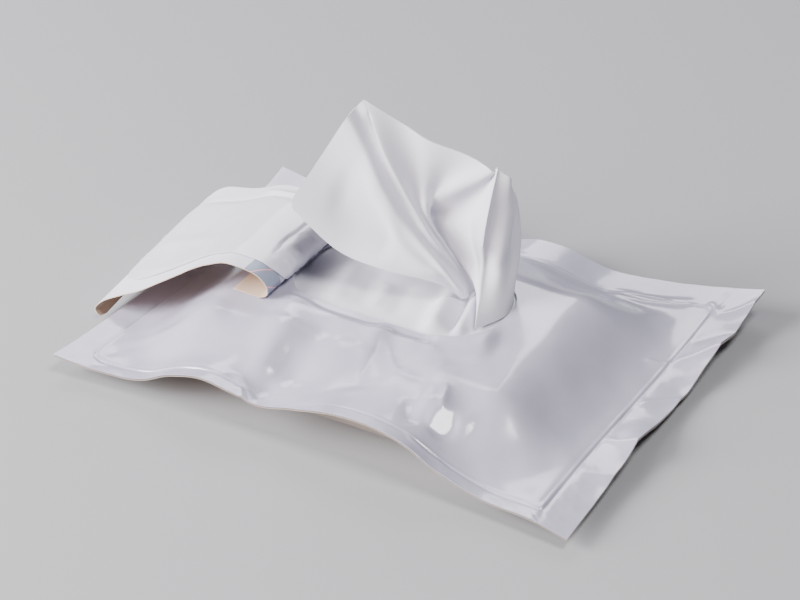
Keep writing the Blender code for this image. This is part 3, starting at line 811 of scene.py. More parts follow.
    def broad_height(self, u: Array, v: Array) -> Array:
        """Height of the broad folds: bells across their lines that fade at their ends."""
        place = np.stack((u * self.length, v * self.width), axis=-1)
        size = np.array((self.length, self.width))
        total = np.zeros(u.shape)
        for start, end, width, height in self.broad_folds:
            total += height * soft_bell(place, start * size, end * size, width, self.fold_fade)
        return total * self.rise(u, v, self.end_slope / 3, self.side_slope / 3)

    def lip_height(self, x: Array, y: Array) -> Array:
        """Height of the curled lip of the mouth, which dies away at the fold and the right end."""
        from_fold = x - self.mouth_x + self.mouth_length / 2
        curl = height_through(self.lip_profile, self.mouth_distance(x, y) / self.lip_width)
        past = from_fold / self.mouth_length - self.lip_slack_start
        slack = 1 - self.lip_slack * smooth(past / self.lip_slack_run)
        return curl * slack * smooth(from_fold / (2 * self.mouth_corner))

    def body_height(self, x: Array, y: Array) -> Array:
        """Height of the top film's under face before its creases: hems, crown, folds and lip."""
        u, v = self.plan_share(x, y)
        risen = self.rise(u, v, self.end_slope, self.side_slope)
        body = self.hem_height(u, v) * (1 - risen) + self.crown * risen
        return body + self.broad_height(u, v) + self.lip_height(x, y)

    def band_height(self, x: Array, y: Array) -> Array:
        """Height of the bends in the seal bands, which die away inside them."""
        points = np.stack((x, y), axis=-1)
        total = sum(fold.raised(points) for fold in self.bends)
        distance = self.seal_distance(*self.plan_share(x, y))
        waves = sum(ruffle.raised(x, y) for ruffle in self.band_ruffles)
        return (total + waves) * smooth(distance / self.band_fade)

    def top_height(self, x: Array, y: Array) -> Array:
        """Height of the top film's under face, with the taut facets let into its creases."""
        total = self.creased_height(x, y)
        for facet in self.facets:
            centre = np.array(facet.centre) * MM
            level = self.creased_height(*centre.reshape(2, 1))
            total += facet.share(x, y) * (facet.plane(x, y, level) - total)
        return total

    def creased_height(self, x: Array, y: Array) -> Array:
        """Height of the top film's under face with its creases, its bead and its plump edge."""
        points = np.stack((x, y), axis=-1)
        distance = self.seal_distance(*self.plan_share(x, y))
        total = self.body_height(x, y) + self.band_height(x, y)
        total += sum(fold.raised(points) for fold in self.creases)
        strength = self.seal_strength(x, y)
        total += self.bead_height * strength * np.exp(-((distance / self.bead_width) ** 2))
        beside = (distance - self.groove_offset) / self.bead_width
        total += self.groove_height * strength * np.exp(-(beside**2))
        inside = np.maximum(-distance, 0)
        plump = (1 - np.exp(-inside / self.plump_rise)) * np.exp(-inside / self.plump_fade)
        total += self.plump * strength * plump
        away_from_mouth = smooth(self.mouth_distance(x, y) / self.mouth_fade)
        uneven = sum(ruffle.raised(x, y) for ruffle in self.film_ruffles)
        total += uneven * smooth(inside / self.film_fade) * away_from_mouth
        return total

    def mouth_distance(self, x: Array, y: Array) -> Array:
        """Distance outside the mouth's edge, a rectangle with round corners."""
        out_x = np.abs(x - self.mouth_x) - self.mouth_length / 2 + self.mouth_corner
        out_y = np.abs(y - self.mouth_y) - self.mouth_width / 2 + self.mouth_corner
        return np.hypot(np.maximum(out_x, 0), np.maximum(out_y, 0)) - self.mouth_corner

    def bottom_height(self, x: Array, y: Array) -> Array:
        """Height of the bottom film's upper face: flat under the stack, along the seals outside."""
        u, v = self.plan_share(x, y)
        sunk = self.rise(u, v, self.belly_end_slope, self.belly_side_slope)
        hems = self.hem_height(u, v) - self.gap + self.band_height(x, y)
        return hems * (1 - sunk) + self.film * sunk

    def turn(self) -> tuple[Array, Array]:
        """Shares (u, v) once round the pouch."""
        return square(self.side_steps, self.end_steps)

    def seal_ring(self, share: float) -> Array:
        """Plan points between the outer edge (share 0) and the inner line of the seals (1)."""
        u, v = self.turn()
        inner_u = (self.seal_left + u * (self.length - self.seal_left - self.seal_right)) / self.length
        inner_v = (self.seal_front + v * (self.width - self.seal_front - self.seal_back)) / self.width
        return np.stack(self.plan_point(u + share * (inner_u - u), v + share * (inner_v - v)), axis=-1)

    def top_film(self, finishes: list[bpy.types.Material]) -> bpy.types.Object:
        """The top film: rings from the mouth's edge out to the hem, finest at lip and seal."""
        centre = (self.mouth_x, self.mouth_y)
        mouth = rounded(self.turn(), centre, self.mouth_length, self.mouth_width, self.mouth_corner)
        lip = rounded(self.turn(), centre, self.mouth_length + 2 * self.lip_width,
                      self.mouth_width + 2 * self.lip_width, self.mouth_corner + self.lip_width)
        seal, hem = self.seal_ring(1.0), self.seal_ring(0.0)
        mouth[:, 1] += self.mouth_slack * smooth((self.mouth_y - mouth[:, 1]) / (self.mouth_width / 3))
        panel = 1 - (1 - shares_below_one(self.panel_rings)) ** self.panel_power
        band = np.linspace(0, 1, self.band_rings) ** self.band_power
        rings = [mouth + (lip - mouth) * share for share in shares_below_one(self.lip_rings)]
        rings += [lip + (seal - lip) * share for share in panel]
        rings += [seal + (hem - seal) * share for share in band]
        plan = np.stack(rings)
        lowest = self.bottom_height(plan[..., 0], plan[..., 1]) + self.contact
        height = np.maximum(self.top_height(plan[..., 0], plan[..., 1]), lowest)
        surface = np.concatenate((plan, height[..., None]), axis=-1)
        skin = two_faced(surface, plan, self.film, 0.0, closed=True)
        return make_piece("pouch_top", skin, finishes, ("top_film",))

    def bottom_film(self, finishes: list[bpy.types.Material]) -> bpy.types.Object:
        """The bottom film: rings from the middle of its flat foot out to the hem."""
        left = -self.length / 2 + self.seal_left + self.belly_end_slope
        right = self.length / 2 - self.seal_right - self.belly_end_slope
        front = -self.width / 2 + self.seal_front + self.side_pull_in + self.belly_side_slope
        back = self.width / 2 - self.seal_back - self.side_pull_in - self.belly_side_slope
        foot = rounded(self.turn(), ((left + right) / 2, (front + back) / 2), right - left,
                       back - front, self.mouth_corner)
        middle = foot.mean(axis=0)
        seal, hem = self.seal_ring(1.0), self.seal_ring(0.0)
        rings = [middle + (foot - middle) * share for share in self.foot_rings]
        rings += [foot + (seal - foot) * share for share in shares_below_one(self.belly_rings)]
        rings += [seal + (hem - seal) * share for share in np.linspace(0, 1, self.hem_rings)]
        plan = np.stack(rings)
        height = self.bottom_height(plan[..., 0], plan[..., 1])
        flat_rings = len(self.foot_rings) + 1
        height[:flat_rings] = self.film
        upper = np.concatenate((plan, height[..., None]), axis=-1)
        lower = upper - outward(upper, True) * self.film
        lower[:flat_rings, :, 2] = 0.0
        surface = np.concatenate((upper, lower[::-1]))
        skin = capped(surface, np.concatenate((plan, plan[::-1])))
        return make_piece("pouch_bottom", skin, finishes, ("bottom_film",))


# Label


@dataclass
class ResealLabel:
    """The reseal label, folded back over the pouch's left end, and the cut piece of film on it."""

    pouch: Pouch
    thickness: float = 0.0003
    gap: float = 0.0003
    anchor: float = 0.012
    end_margin: float = 0.0095
    front_margin: float = 0.0062
    back_margin: float = 0.0050
    fold_offset: float = 0.0025
    tab_flare: float = 0.0155
    flare_power: float = 1.3
    tab_corner: float = 0.003
    front_reach: float = 0.0062
    back_reach: float = 0.0110
    front_tip: float = 0.0010
    back_tip: float = 0.0055
    patch_trim: float = 0.0006
    patch_start: float = 0.0030
    patch_fold_corner: float = 0.012
    edge_wave: float = 0.0007
    edge_turns: float = 19.0
    edge_fade: float = 0.2
    bend_length: float = 0.0165
    bend_fade: float = 0.003
    flap_fade: float = 0.012
    steps: int = 170
    columns: int = 84
    strip_steps: int = 17
    patch_steps: int = 140
    patch_columns: int = 60

    # Search for the arch's lift: points on its line, halvings and the highest lift tried
    profile_points: int = 600
    halvings: int = 30
    highest_lift: float = 3.0

    # Unevenness of the whole flap and of its bend
    flap_ruffle: Ruffle = Ruffle(0.00008, 0.012, 3.0)
    bend_ruffle: Ruffle = Ruffle(0.00009, 0.0045, 1.4)

    # The folded flap in profile, as shares of the line from its fold to its free end
    front_arch: Stations = (
        (0.00, 0.000), (-0.055, 0.008), (-0.083, 0.050), (-0.070, 0.102), (-0.025, 0.150),
        (0.11, 0.213), (0.215, 0.218), (0.33, 0.205), (0.65, 0.139), (0.80, 0.122),
        (0.93, 0.104), (1.014, 0.062), (1.00, 0.000))
    back_arch: Stations = (
        (0.00, 0.000), (-0.050, 0.010), (-0.075, 0.048), (-0.062, 0.098), (-0.015, 0.145),
        (0.126, 0.190), (0.230, 0.196), (0.334, 0.196), (0.642, 0.180), (0.770, 0.157),
        (0.877, 0.118), (0.959, 0.060), (1.00, 0.000))

    # Creases of the flap: along it from its fold, across it from its front edge, in millimetres
    creases: tuple[Fold, ...] = (
        Fold(((20, 46), (40, 47.5), (62, 47), (80, 46)), 1.0, -0.6, Section.SHARP),
        Fold(((18, 50), (34, 50), (50, 51.5)), 1.2, 0.6),
        Fold(((16.0, 11), (17.5, 20), (17.0, 34), (15.0, 48)), 2.6, -0.6, Section.STEP, 0.2, 0.2),
        Fold(((15.0, 11), (12.5, 14.5), (8.0, 15.0), (4.0, 12.0)), 0.7, 0.4, Section.SHARP),
        Fold(((15.5, 15), (12.0, 19.5), (7.5, 20.0), (3.5, 17.0)), 0.7, -0.4, Section.SHARP),
        Fold(((16.0, 20), (12.0, 25.0), (7.5, 26.0), (3.5, 22.0)), 0.8, 0.45, Section.SHARP),
        Fold(((16.0, 27), (12.5, 32.0), (8.0, 33.0), (4.0, 28.0)), 0.8, -0.4, Section.SHARP),
        Fold(((15.5, 35), (12.0, 40.0), (7.5, 40.5), (4.0, 36.0)), 0.9, 0.4, Section.SHARP),
        Fold(((34, 8), (55, 9), (78, 12)), 1.6, 0.2),
        Fold(((45, 20), (60, 24), (84, 26)), 3.0, 0.25),
        Fold(((82, 2), (84, 26), (83, 52)), 3.0, 0.3))

    @property
    def fold_x(self) -> float:
        """Where the label folds back, just left of the mouth."""
        return self.pouch.mouth_x - self.pouch.mouth_length / 2 - self.fold_offset

    @property
    def flap_length(self) -> float:
        """Length of the flap from its fold to its free end."""
        return self.fold_offset + self.pouch.mouth_length + self.end_margin

    @property
    def front_y(self) -> float:
        """Where the label's front edge crosses its fold."""
        return self.pouch.mouth_y - self.pouch.mouth_width / 2 - self.front_margin

    @property
    def back_y(self) -> float:
        """Where the label's back edge crosses its fold."""
        return self.pouch.mouth_y + self.pouch.mouth_width / 2 + self.back_margin

    @property
    def width(self) -> float:
        """Width of the label at its fold."""
        return self.back_y - self.front_y

    def seat(self, x: Array, y: Array) -> Array:
        """Height of the label's under face where it lies on the film."""
        return self.pouch.top_height(x, y) + self.pouch.film + self.gap

    def profile(self, arch: Stations, reach: float, tip: float) -> Array:
        """One edge of the flap in X and Z, at even lengths from its fold to its free end.

        Args:
            arch: the profile's shape as shares of its chord.
            reach: how far past the pouch's left hem it ends.
            tip: the height at which it ends.

        Returns:
            (steps + 1, 2) points. The arch's lift is halved in on until its length is the flap's.
        """
        y = np.linspace(self.front_y, self.back_y, self.columns + 1)
        fold = np.array((self.fold_x, self.seat(np.full_like(y, self.fold_x), y).max()))
        chord = np.array((-self.pouch.length / 2 - reach, tip)) - fold
        up = np.array((chord[1], -chord[0]))
        shape = np.array(arch)
        low, high = 0.0, self.highest_lift
        for _ in range(self.halvings):
            lift = (low + high) / 2
            knots = fold + shape[:, :1] * chord + shape[:, 1:] * lift * up
            line = line_through(knots, np.linspace(0.0, 1.0, self.profile_points))
            runs = np.linalg.norm(np.diff(line, axis=0), axis=1)
            low, high = (lift, high) if runs.sum() < self.flap_length else (low, lift)
        lengths = np.concatenate(([0.0], np.cumsum(runs)))
        wanted = np.linspace(0.0, lengths[-1], self.steps + 1)
        return np.stack([np.interp(wanted, lengths, line[:, axis]) for axis in (0, 1)], axis=-1)

    def edges(self) -> tuple[Array, Array]:
        """The flap's front and back edges as (steps + 1, 3) points."""
        place = np.linspace(0.0, 1.0, self.steps + 1)
        front = self.profile(self.front_arch, self.front_reach, self.front_tip)
        back = self.profile(self.back_arch, self.back_reach, self.back_tip)
        flare = self.tab_flare * smooth(place) ** self.flare_power
        ends = smooth(place / self.edge_fade) * smooth((1 - place) / self.edge_fade)
        wave = self.edge_wave * np.sin(place * self.edge_turns) * ends
        return (np.stack((front[:, 0], self.front_y - flare, front[:, 1]), axis=-1),
                np.stack((back[:, 0], np.full_like(place, self.back_y), back[:, 1] + wave), axis=-1))

    def flap(self, along: Array, across: Array) -> Array:
        """Points of the flap: straight lines between its edges, lifted by its creases.

        Args:
            along: lengths from the fold.
            across: shares from the front edge (0) to the back edge (1).

        Returns:
            The points, with the shape of along and across, broadcast, and then 3.
        """
        front, back = self.edges()
        place = np.linspace(0.0, self.flap_length, self.steps + 1)
        along, across = np.broadcast_arrays(along, across)
        first = np.stack([np.interp(along, place, front[:, axis]) for axis in range(3)], axis=-1)
        last = np.stack([np.interp(along, place, back[:, axis]) for axis in range(3)], axis=-1)
        surface = first + (last - first) * across[..., None]
        flat = np.stack((along, across * self.width), axis=-1)
        lift = sum(fold.raised(flat) for fold in self.creases)
        lift = lift + self.flap_ruffle.raised(along, flat[..., 1]) * smooth(along / self.flap_fade)
        in_bend = smooth(along / self.bend_fade) * smooth((self.bend_length - along) / self.bend_fade)
        lift = lift + self.bend_ruffle.raised(along, flat[..., 1]) * in_bend
        return surface - outward(surface, False) * lift[..., None]

    def label(self, finishes: list[bpy.types.Material]) -> bpy.types.Object:
        """The label: its strip on the film, its fold, and its flap with small round corners."""
        along = np.linspace(0.0, self.flap_length, self.steps + 1)
        across = np.linspace(0.0, 1.0, self.columns + 1)
        inset = narrowed(along, 0.0, self.flap_length, (0.0, self.tab_corner)) / self.width
        shares = inset[:, None] + across[None, :] * (1 - 2 * inset[:, None])
        flap = self.flap(along[:, None], shares)
        x = self.fold_x - self.anchor * (1 - shares_below_one(self.strip_steps))
        y = flap[0, 0, 1] + (flap[0, -1, 1] - flap[0, 0, 1]) * across
        strip_x, strip_y = np.meshgrid(x, y, indexing="ij")
        strip = np.stack((strip_x, strip_y, self.seat(strip_x, strip_y)), axis=-1)
        surface = np.concatenate((strip, flap))
        place = np.concatenate((x - self.fold_x, along))
        share = np.concatenate((np.tile(across, (len(x), 1)), shares))
        flat = np.stack((np.broadcast_to(place[:, None], share.shape), share * self.width), axis=-1)
        skin = two_faced(surface, flat, self.thickness, 0.0)
        return make_piece("label", skin, finishes, ("reseal_label",))

    def patch(self, finishes: list[bpy.types.Material]) -> bpy.types.Object:
        """The cut piece of film, with its round corners, on the flap's adhesive side."""
        end = self.patch_start + self.pouch.mouth_length - 2 * self.patch_trim
        bend = np.linspace(0.0, 1.0, self.patch_steps + 1)
        along = self.patch_start + (end - self.patch_start) * (1 - np.cos(math.pi * bend)) / 2
        radii = (self.patch_fold_corner, self.pouch.mouth_corner)
        inset = narrowed(along, self.patch_start, end, radii)
        first = (self.front_margin + self.patch_trim + inset) / self.width
        last = 1 - (self.back_margin + self.patch_trim + inset) / self.width
        across = np.linspace(0.0, 1.0, self.patch_columns + 1)
        shares = first[:, None] + (last - first)[:, None] * across[None, :]
        surface = self.flap(along[:, None], shares)
        surface = surface - outward(surface, False) * (self.thickness + self.gap)
        flat = np.stack((np.broadcast_to(along[:, None], shares.shape), shares * self.width), axis=-1)
        skin = two_faced(surface, flat, self.thickness, 0.0)
        return make_piece("cut_film", skin, finishes, ("film_patch",))


# Wipes


@dataclass
class Wipes:
    """The folded stack, the next wipe that lies loose on it, and the wipe that stands drawn."""

    pouch: Pouch
    end_room: float = 0.03175
    side_room: float = 0.02375
    stack_top: float = 0.0183
    clearance: float = 0.0023
    gap: float = 0.0003
    thickness: float = 0.0005
    next_margin: float = 0.008
    ripple: float = 0.0007
    loft: float = 0.0003
    skew: float = 0.12
    next_rows: int = 170
    next_columns: int = 100
    next_ruffle: Ruffle = Ruffle(0.00012, 0.012, 4.0)

    # The stack's corners, the drop of its shoulder, the bulge of each folded wipe, and its rings
    stack_corner: float = 0.003
    shoulder: float = 0.0012
    bulge: float = 0.012
    bulge_power: float = 0.6
    layers: int = 14
    layer_rings: int = 6
    foot_rings: tuple[float, ...] = (0.004, 0.5, 0.97)
    crown_rings: tuple[float, ...] = (0.97, 0.93, 0.85, 0.7, 0.5, 0.3, 0.12, 0.004)
    stack_side_steps: int = 90
    stack_end_steps: int = 58

    # The drawn wipe's grid, the flat size of its modelled part and the rounding of its left tip
    rib_rows: int = 190
    panel_steps: int = 30
    panel_width: float = 0.016
    rib_length: float = 0.085
    wipe_width: float = 0.140
    drawn_area: float = 0.0066
    tip_radius: float = 0.0022

    # Soft waves along the next wipe: (share of its length, height from -1 to 1)
    waves: Stations = ((0, 1), (0.2, -1), (0.42, 1), (0.62, -1), (0.8, 1), (1, -1))

    # Share of the tuck's line over which each of its ends fades
    tuck_fade: float = 0.3

    # Tuck of the next wipe: start and end from the mouth's right end, width, height
    tuck: tuple[tuple[float, float], tuple[float, float], float, float] = (
        (-0.0245, 0.0030), (-0.0195, -0.0150), 0.0050, 0.0024)

    # Drawn wipe: five points up each rib, from the mouth's right end on the next wipe's top
    ribs: tuple[tuple[tuple[float, float, float], ...], ...] = (
        ((-0.0205, 0.0062, 0.0012), (-0.0290, 0.0022, 0.0085), (-0.0475, -0.0035, 0.012),
         (-0.0665, -0.0063, 0.017), (-0.0842, -0.0097, 0.034)),
        ((-0.0190, 0.0069, 0.0018), (-0.0265, 0.0020, 0.017), (-0.0395, 0.0000, 0.032),
         (-0.0515, 0.0015, 0.0495), (-0.0635, 0.0035, 0.069)),
        ((-0.0188, 0.0100, 0.0022), (-0.0262, 0.0055, 0.0190), (-0.0345, 0.0035, 0.033),
         (-0.0485, 0.0045, 0.056), (-0.0595, 0.0100, 0.0745)),
        ((-0.0172, 0.0118, 0.0026), (-0.0252, 0.0080, 0.0185), (-0.0335, 0.0065, 0.0355),
         (-0.0360, 0.0100, 0.048), (-0.0365, 0.0120, 0.063)),
        ((-0.0140, 0.0104, 0.0026), (-0.0238, 0.0092, 0.0178), (-0.0325, 0.0095, 0.032),
         (-0.0245, 0.0140, 0.043), (-0.0090, 0.0140, 0.057)),
        ((-0.0068, -0.0078, 0.0008), (-0.0125, 0.0095, 0.0155), (-0.0105, 0.0077, 0.029),
         (-0.0085, 0.0100, 0.0435), (-0.0062, 0.0130, 0.0577)),
        ((-0.0015, 0.0045, 0.0006), (-0.0042, 0.0145, 0.013), (-0.0056, 0.0185, 0.026),
         (-0.0063, 0.0215, 0.038), (-0.0063, 0.0175, 0.051)),
        ((-0.0042, 0.0152, 0.0010), (-0.0068, 0.0208, 0.014), (-0.0100, 0.0250, 0.025),
         (-0.0140, 0.0270, 0.034), (-0.0180, 0.0260, 0.041)),
        ((-0.0130, 0.0180, 0.0012), (-0.0165, 0.0230, 0.010), (-0.0225, 0.0260, 0.018),
         (-0.0295, 0.0280, 0.025), (-0.0365, 0.0280, 0.030)))

    # Depth of the hollow between each rib and the next, and the share of the ribs it grows over
    hollows: tuple[float, ...] = (0.0030, 0.0016, 0.0010, 0.0014, 0.0014, -0.0036, -0.0024, -0.0015)
    hollow_growth: float = 0.5

    # Share of the ribs over which the folds grow, and the longest slope in panel widths
    root_fade: float = 0.12
    longest_slope: float = 1.3

    # Ribs along which the cloth is creased sharply
    sharp_ribs: tuple[int, ...] = (2, 5)

    # Folds of the drawn wipe, in millimetres across it from its left edge and up it from its foot
    drawn_folds: tuple[Fold, ...] = (
        Fold(((14, 74), (14.2, 62), (13.2, 50), (9.6, 41), (6.5, 32), (6, 24), (12, 12)), 3.6, 1.7),
        Fold(((9, 78), (6, 70), (4.8, 62), (4.6, 53), (5, 40)), 3.0, -1.1),
        Fold(((32, 38), (32, 52), (32, 66), (32, 82)), 7.0, -1.5, Section.STEP, 0.4, 0.15),
        Fold(((32, 44), (32, 30), (32, 18), (32, 6)), 1.6, 0.5, Section.SHARP, 0.3, 0.1),
        Fold(((67, 85), (63.6, 71.6), (60, 57), (52, 47), (41.6, 40)), 5.0, 2.0,
             Section.ROUND, 0.0, 0.3),
        Fold(((72, 76), (71, 62), (68, 48), (58, 38), (47, 29)), 4.0, -1.5),
        Fold(((44, 84), (44, 70), (43, 56), (39, 44)), 5.0, -1.4, Section.ROUND, 0.0, 0.3),
        Fold(((73, 60), (76.5, 44), (77.2, 22), (78.4, 8)), 1.3, 0.7, Section.SHARP),
        Fold(((80, 80), (80.6, 69), (80, 54), (80, 30), (79, 6)), 1.4, 0.7, Section.SHARP,
             0.3, 0.2),
        Fold(((88, 78), (88, 60), (88, 30), (88, 8)), 4.0, 0.8, Section.ROUND, 0.3, 0.2))

    # Folds of the next wipe, in millimetres on the plan
    next_folds: tuple[Fold, ...] = (
        Fold(((12, 21), (14, 6), (16.5, -6), (19, -16)), 3.6, 2.0),
        Fold(((18, 18), (20.8, 9), (23.4, -0.5), (25.2, -12)), 1.2, -1.3),
        Fold(((25.4, 15), (29.4, 5), (32.6, -5)), 1.2, -0.9),
        Fold(((22, 17), (24.5, 6), (27.5, -6), (29, -14)), 2.0, 2.1, Section.ROUND, 0.12, 0.3),
        Fold(((-32, 16), (-28.4, 1.6), (-24.5, -14)), 4.0, 0.9),
        Fold(((-20, 16), (-17.5, 2), (-14, -12)), 3.5, -0.6),
        Fold(((-47, 8), (-44, -6), (-42, -15)), 5.0, -0.5),
        Fold(((-11.7, 8.4), (-10.4, -1.9), (-8.5, -10.3)), 2.6, 0.5),
        Fold(((-5.6, 13), (-2.6, -0.2), (0.9, -11.3)), 3.5, -0.5))

    @property
    def mouth_right(self) -> float:
        """Where the mouth ends on the right."""
        return self.pouch.mouth_x + self.pouch.mouth_length / 2

    def stack_height(self, x: Array, y: Array) -> Array:
        """Height of the stack's top, which the film presses down towards the stack's edges."""
        return np.minimum(self.stack_top, self.pouch.body_height(x, y) - self.clearance)

    def stack(self, finishes: list[bpy.types.Material]) -> bpy.types.Object:
        """The stack: rings up its sides, which bulge at each folded wipe, and in over its top."""
        length = self.pouch.length - self.pouch.seal_left - self.pouch.seal_right - 2 * self.end_room
        width = self.pouch.width - self.pouch.seal_front - self.pouch.seal_back - 2 * self.side_room
        outline = rounded(square(self.stack_side_steps, self.stack_end_steps),
                          (self.pouch.mouth_x, self.pouch.mouth_y), length, width,
                          self.stack_corner)
        middle = outline.mean(axis=0)
        floor = self.pouch.film + self.gap
        edge = self.stack_height(outline[:, 0], outline[:, 1]) - self.shoulder
        rings = [(share, 0.0) for share in self.foot_rings]
        for up in np.linspace(0.0, 1.0, self.layer_rings * self.layers + 1):
            swell = abs(math.sin(math.pi * self.layers * up)) ** self.bulge_power
            rings.append((1 - self.bulge + self.bulge * swell, up))
        rows = []
        for share, up in rings:
            plan = middle + (outline - middle) * share
            rows.append(np.column_stack((plan, floor + (edge - floor) * up)))
        for share in self.crown_rings:
            plan = middle + (outline - middle) * share
            rows.append(np.column_stack((plan, self.stack_height(plan[:, 0], plan[:, 1]))))
        surface = np.stack(rows)[::-1]
        skin = capped(surface, surface[..., :2])
        return make_piece("wipe_stack_folded", skin, finishes, ("wipe_stack",))

    def tuck_height(self, x: Array, y: Array) -> Array:
        """Height of the rounded tuck where the next wipe follows the drawn one."""
        start, end, width, height = self.tuck
        place = np.stack((x - self.mouth_right, y - self.pouch.mouth_y), axis=-1)
        return height * soft_bell(place, np.array(start), np.array(end), width, self.tuck_fade)

    def next_wipe(self, finishes: list[bpy.types.Material]) -> bpy.types.Object:
        """The next wipe: a sheet over the stack under the mouth, with soft cross folds."""
        length = self.pouch.mouth_length + 2 * self.next_margin
        width = self.pouch.mouth_width + 2 * self.next_margin
        u, v = np.meshgrid(np.linspace(0, 1, self.next_rows + 1),
                           np.linspace(0, 1, self.next_columns + 1), indexing="ij")
        x = self.pouch.mouth_x + (u - 0.5) * length
        y = self.pouch.mouth_y + (v - 0.5) * width
        wave = height_through(self.waves, np.minimum(u + self.skew * (1 - v), 1.0))
        ripple = self.ripple * np.clip((1 + wave) / 2, 0.0, 1.0)
        height = self.stack_height(x, y) + self.gap + ripple + self.tuck_height(x, y)
        height += self.next_ruffle.height + self.next_ruffle.raised(x, y)
        height += sum(fold.raised(np.stack((x, y), axis=-1)) for fold in self.next_folds)
        height = np.maximum(height + self.loft, self.stack_height(x, y) + self.gap / 2)
        surface = np.stack((x, y, height), axis=-1)
        skin = two_faced(surface, np.stack((x, y), axis=-1), self.thickness, 0.0)
        piece = make_piece("wipe_next", skin, finishes, ("next_wipe",))
        return piece

    def drawn_surface(self, share: Array, rib: Array) -> Array:
        """Points of the drawn wipe: cubic curves up its ribs, and across from rib to rib.

        Args:
            share: shares of the way up the ribs.
            rib: rib numbers, with parts of a rib between them.

        Returns:
            The points. A sharp rib has its own slope on each side, and each panel is hollow by
            the square of a sine across it.
        """
        root_z = self.stack_top + 2 * self.gap + self.thickness + self.ripple
        root = np.array((self.mouth_right, self.pouch.mouth_y, root_z))
        ribs = root + np.array(self.ribs)
        share, rib = np.broadcast_arrays(share, rib)
        panel = np.clip(rib.astype(int), 0, len(ribs) - 2)
        t = (rib - panel)[..., None]
        lines = np.stack([line_through(points, share) for points in ribs])
        rows, columns = np.indices(share.shape)
        near, far = lines[panel, rows, columns], lines[panel + 1, rows, columns]
        before = lines[np.maximum(panel - 1, 0), rows, columns]
        after = lines[np.minimum(panel + 2, len(ribs) - 1), rows, columns]
        near_sharp = np.isin(panel, self.sharp_ribs)[..., None] | (panel == 0)[..., None]
        far_sharp = (np.isin(panel + 1, self.sharp_ribs) | (panel == len(ribs) - 2))[..., None]
        near_slope = self.held(np.where(near_sharp, far - near, (far - before) / 2), far - near)
        far_slope = self.held(np.where(far_sharp, far - near, (after - near) / 2), far - near)
        surface = ((2 * t**3 - 3 * t**2 + 1) * near + (t**3 - 2 * t**2 + t) * near_slope
                   + (3 * t**2 - 2 * t**3) * far + (t**3 - t**2) * far_slope)
        hollow = np.array(self.hollows)[panel][..., None] * np.sin(math.pi * t) ** 2
        surface = surface + self.inward(lines, panel, rows, columns) * hollow * smooth(
            share / self.hollow_growth)[..., None]
        flat = self.drawn_flat(share, rib)
        lift = sum(fold.raised(flat) for fold in self.drawn_folds) * smooth(share / self.root_fade)
        return surface - outward(surface, False) * lift[..., None]

    def held(self, slope: Array, step: Array) -> Array:
        """A slope held to a length in panel widths, so that narrow panels don't loop."""
        size = np.linalg.norm(slope, axis=-1, keepdims=True)
        width = np.linalg.norm(step, axis=-1, keepdims=True)
        return slope * np.minimum(1.0, self.longest_slope * width / np.maximum(size, 1e-9))

    def drawn_flat(self, share: Array, rib: Array) -> Array:
        """Flat coordinates of the drawn wipe: an even width for each panel, its height up a rib."""
        return np.stack((rib * self.panel_width, share * self.rib_length), axis=-1)

    def inward(self, lines: Array, panel: Array, rows: Array, columns: Array) -> Array:
        """Unit normals of the flat panels between neighbouring ribs."""
        steps = np.gradient(lines, axis=1)
        along = steps[panel, rows, columns] + steps[panel + 1, rows, columns]
        across = lines[panel + 1, rows, columns] - lines[panel, rows, columns]
        normal = np.cross(along, across)
        return normal / np.linalg.norm(normal, axis=-1, keepdims=True)

    def drawn_wipe(self, finishes: list[bpy.types.Material]) -> bpy.types.Object:
        """The drawn wipe, fanning out from the mouth's right end, open towards the back."""
        count = (len(self.ribs) - 1) * self.panel_steps + 1
        share, rib = np.meshgrid(np.linspace(0, 1, self.rib_rows),
                                 np.linspace(0, len(self.ribs) - 1, count), indexing="ij")
        share *= 1 - cut_in(rib * self.panel_width, self.tip_radius) / self.rib_length
        surface = self.drawn_surface(share, rib)
        flat = self.drawn_flat(share, rib)
        skin = two_faced(surface, flat, self.thickness / 2, self.thickness / 2)
        piece = make_piece("wipe_drawn", skin, finishes, ("drawn_wipe",))
        return piece


# Studio


@dataclass(frozen=True)
class Lamp:
    """A square soft light: its direction and distance from the pouch, its side and its watts."""

    name: str
    towards: tuple[float, float, float]
    distance: float
    size: float
    power: float
    colour: str

    def place(self) -> None:
        """Adds the light, which points at the pouch."""
        data = bpy.data.lights.new(self.name, "AREA")
        data.size = self.size
        data.energy = self.power
        data.color = linear(self.colour)[:3]
        lamp = bpy.data.objects.new(self.name, data)
        bpy.context.scene.collection.objects.link(lamp)
        direction = Vector(self.towards).normalized()
        lamp.location = direction * self.distance
        lamp.rotation_mode = "QUATERNION"
        lamp.rotation_quaternion = direction.to_track_quat("Z", "Y")


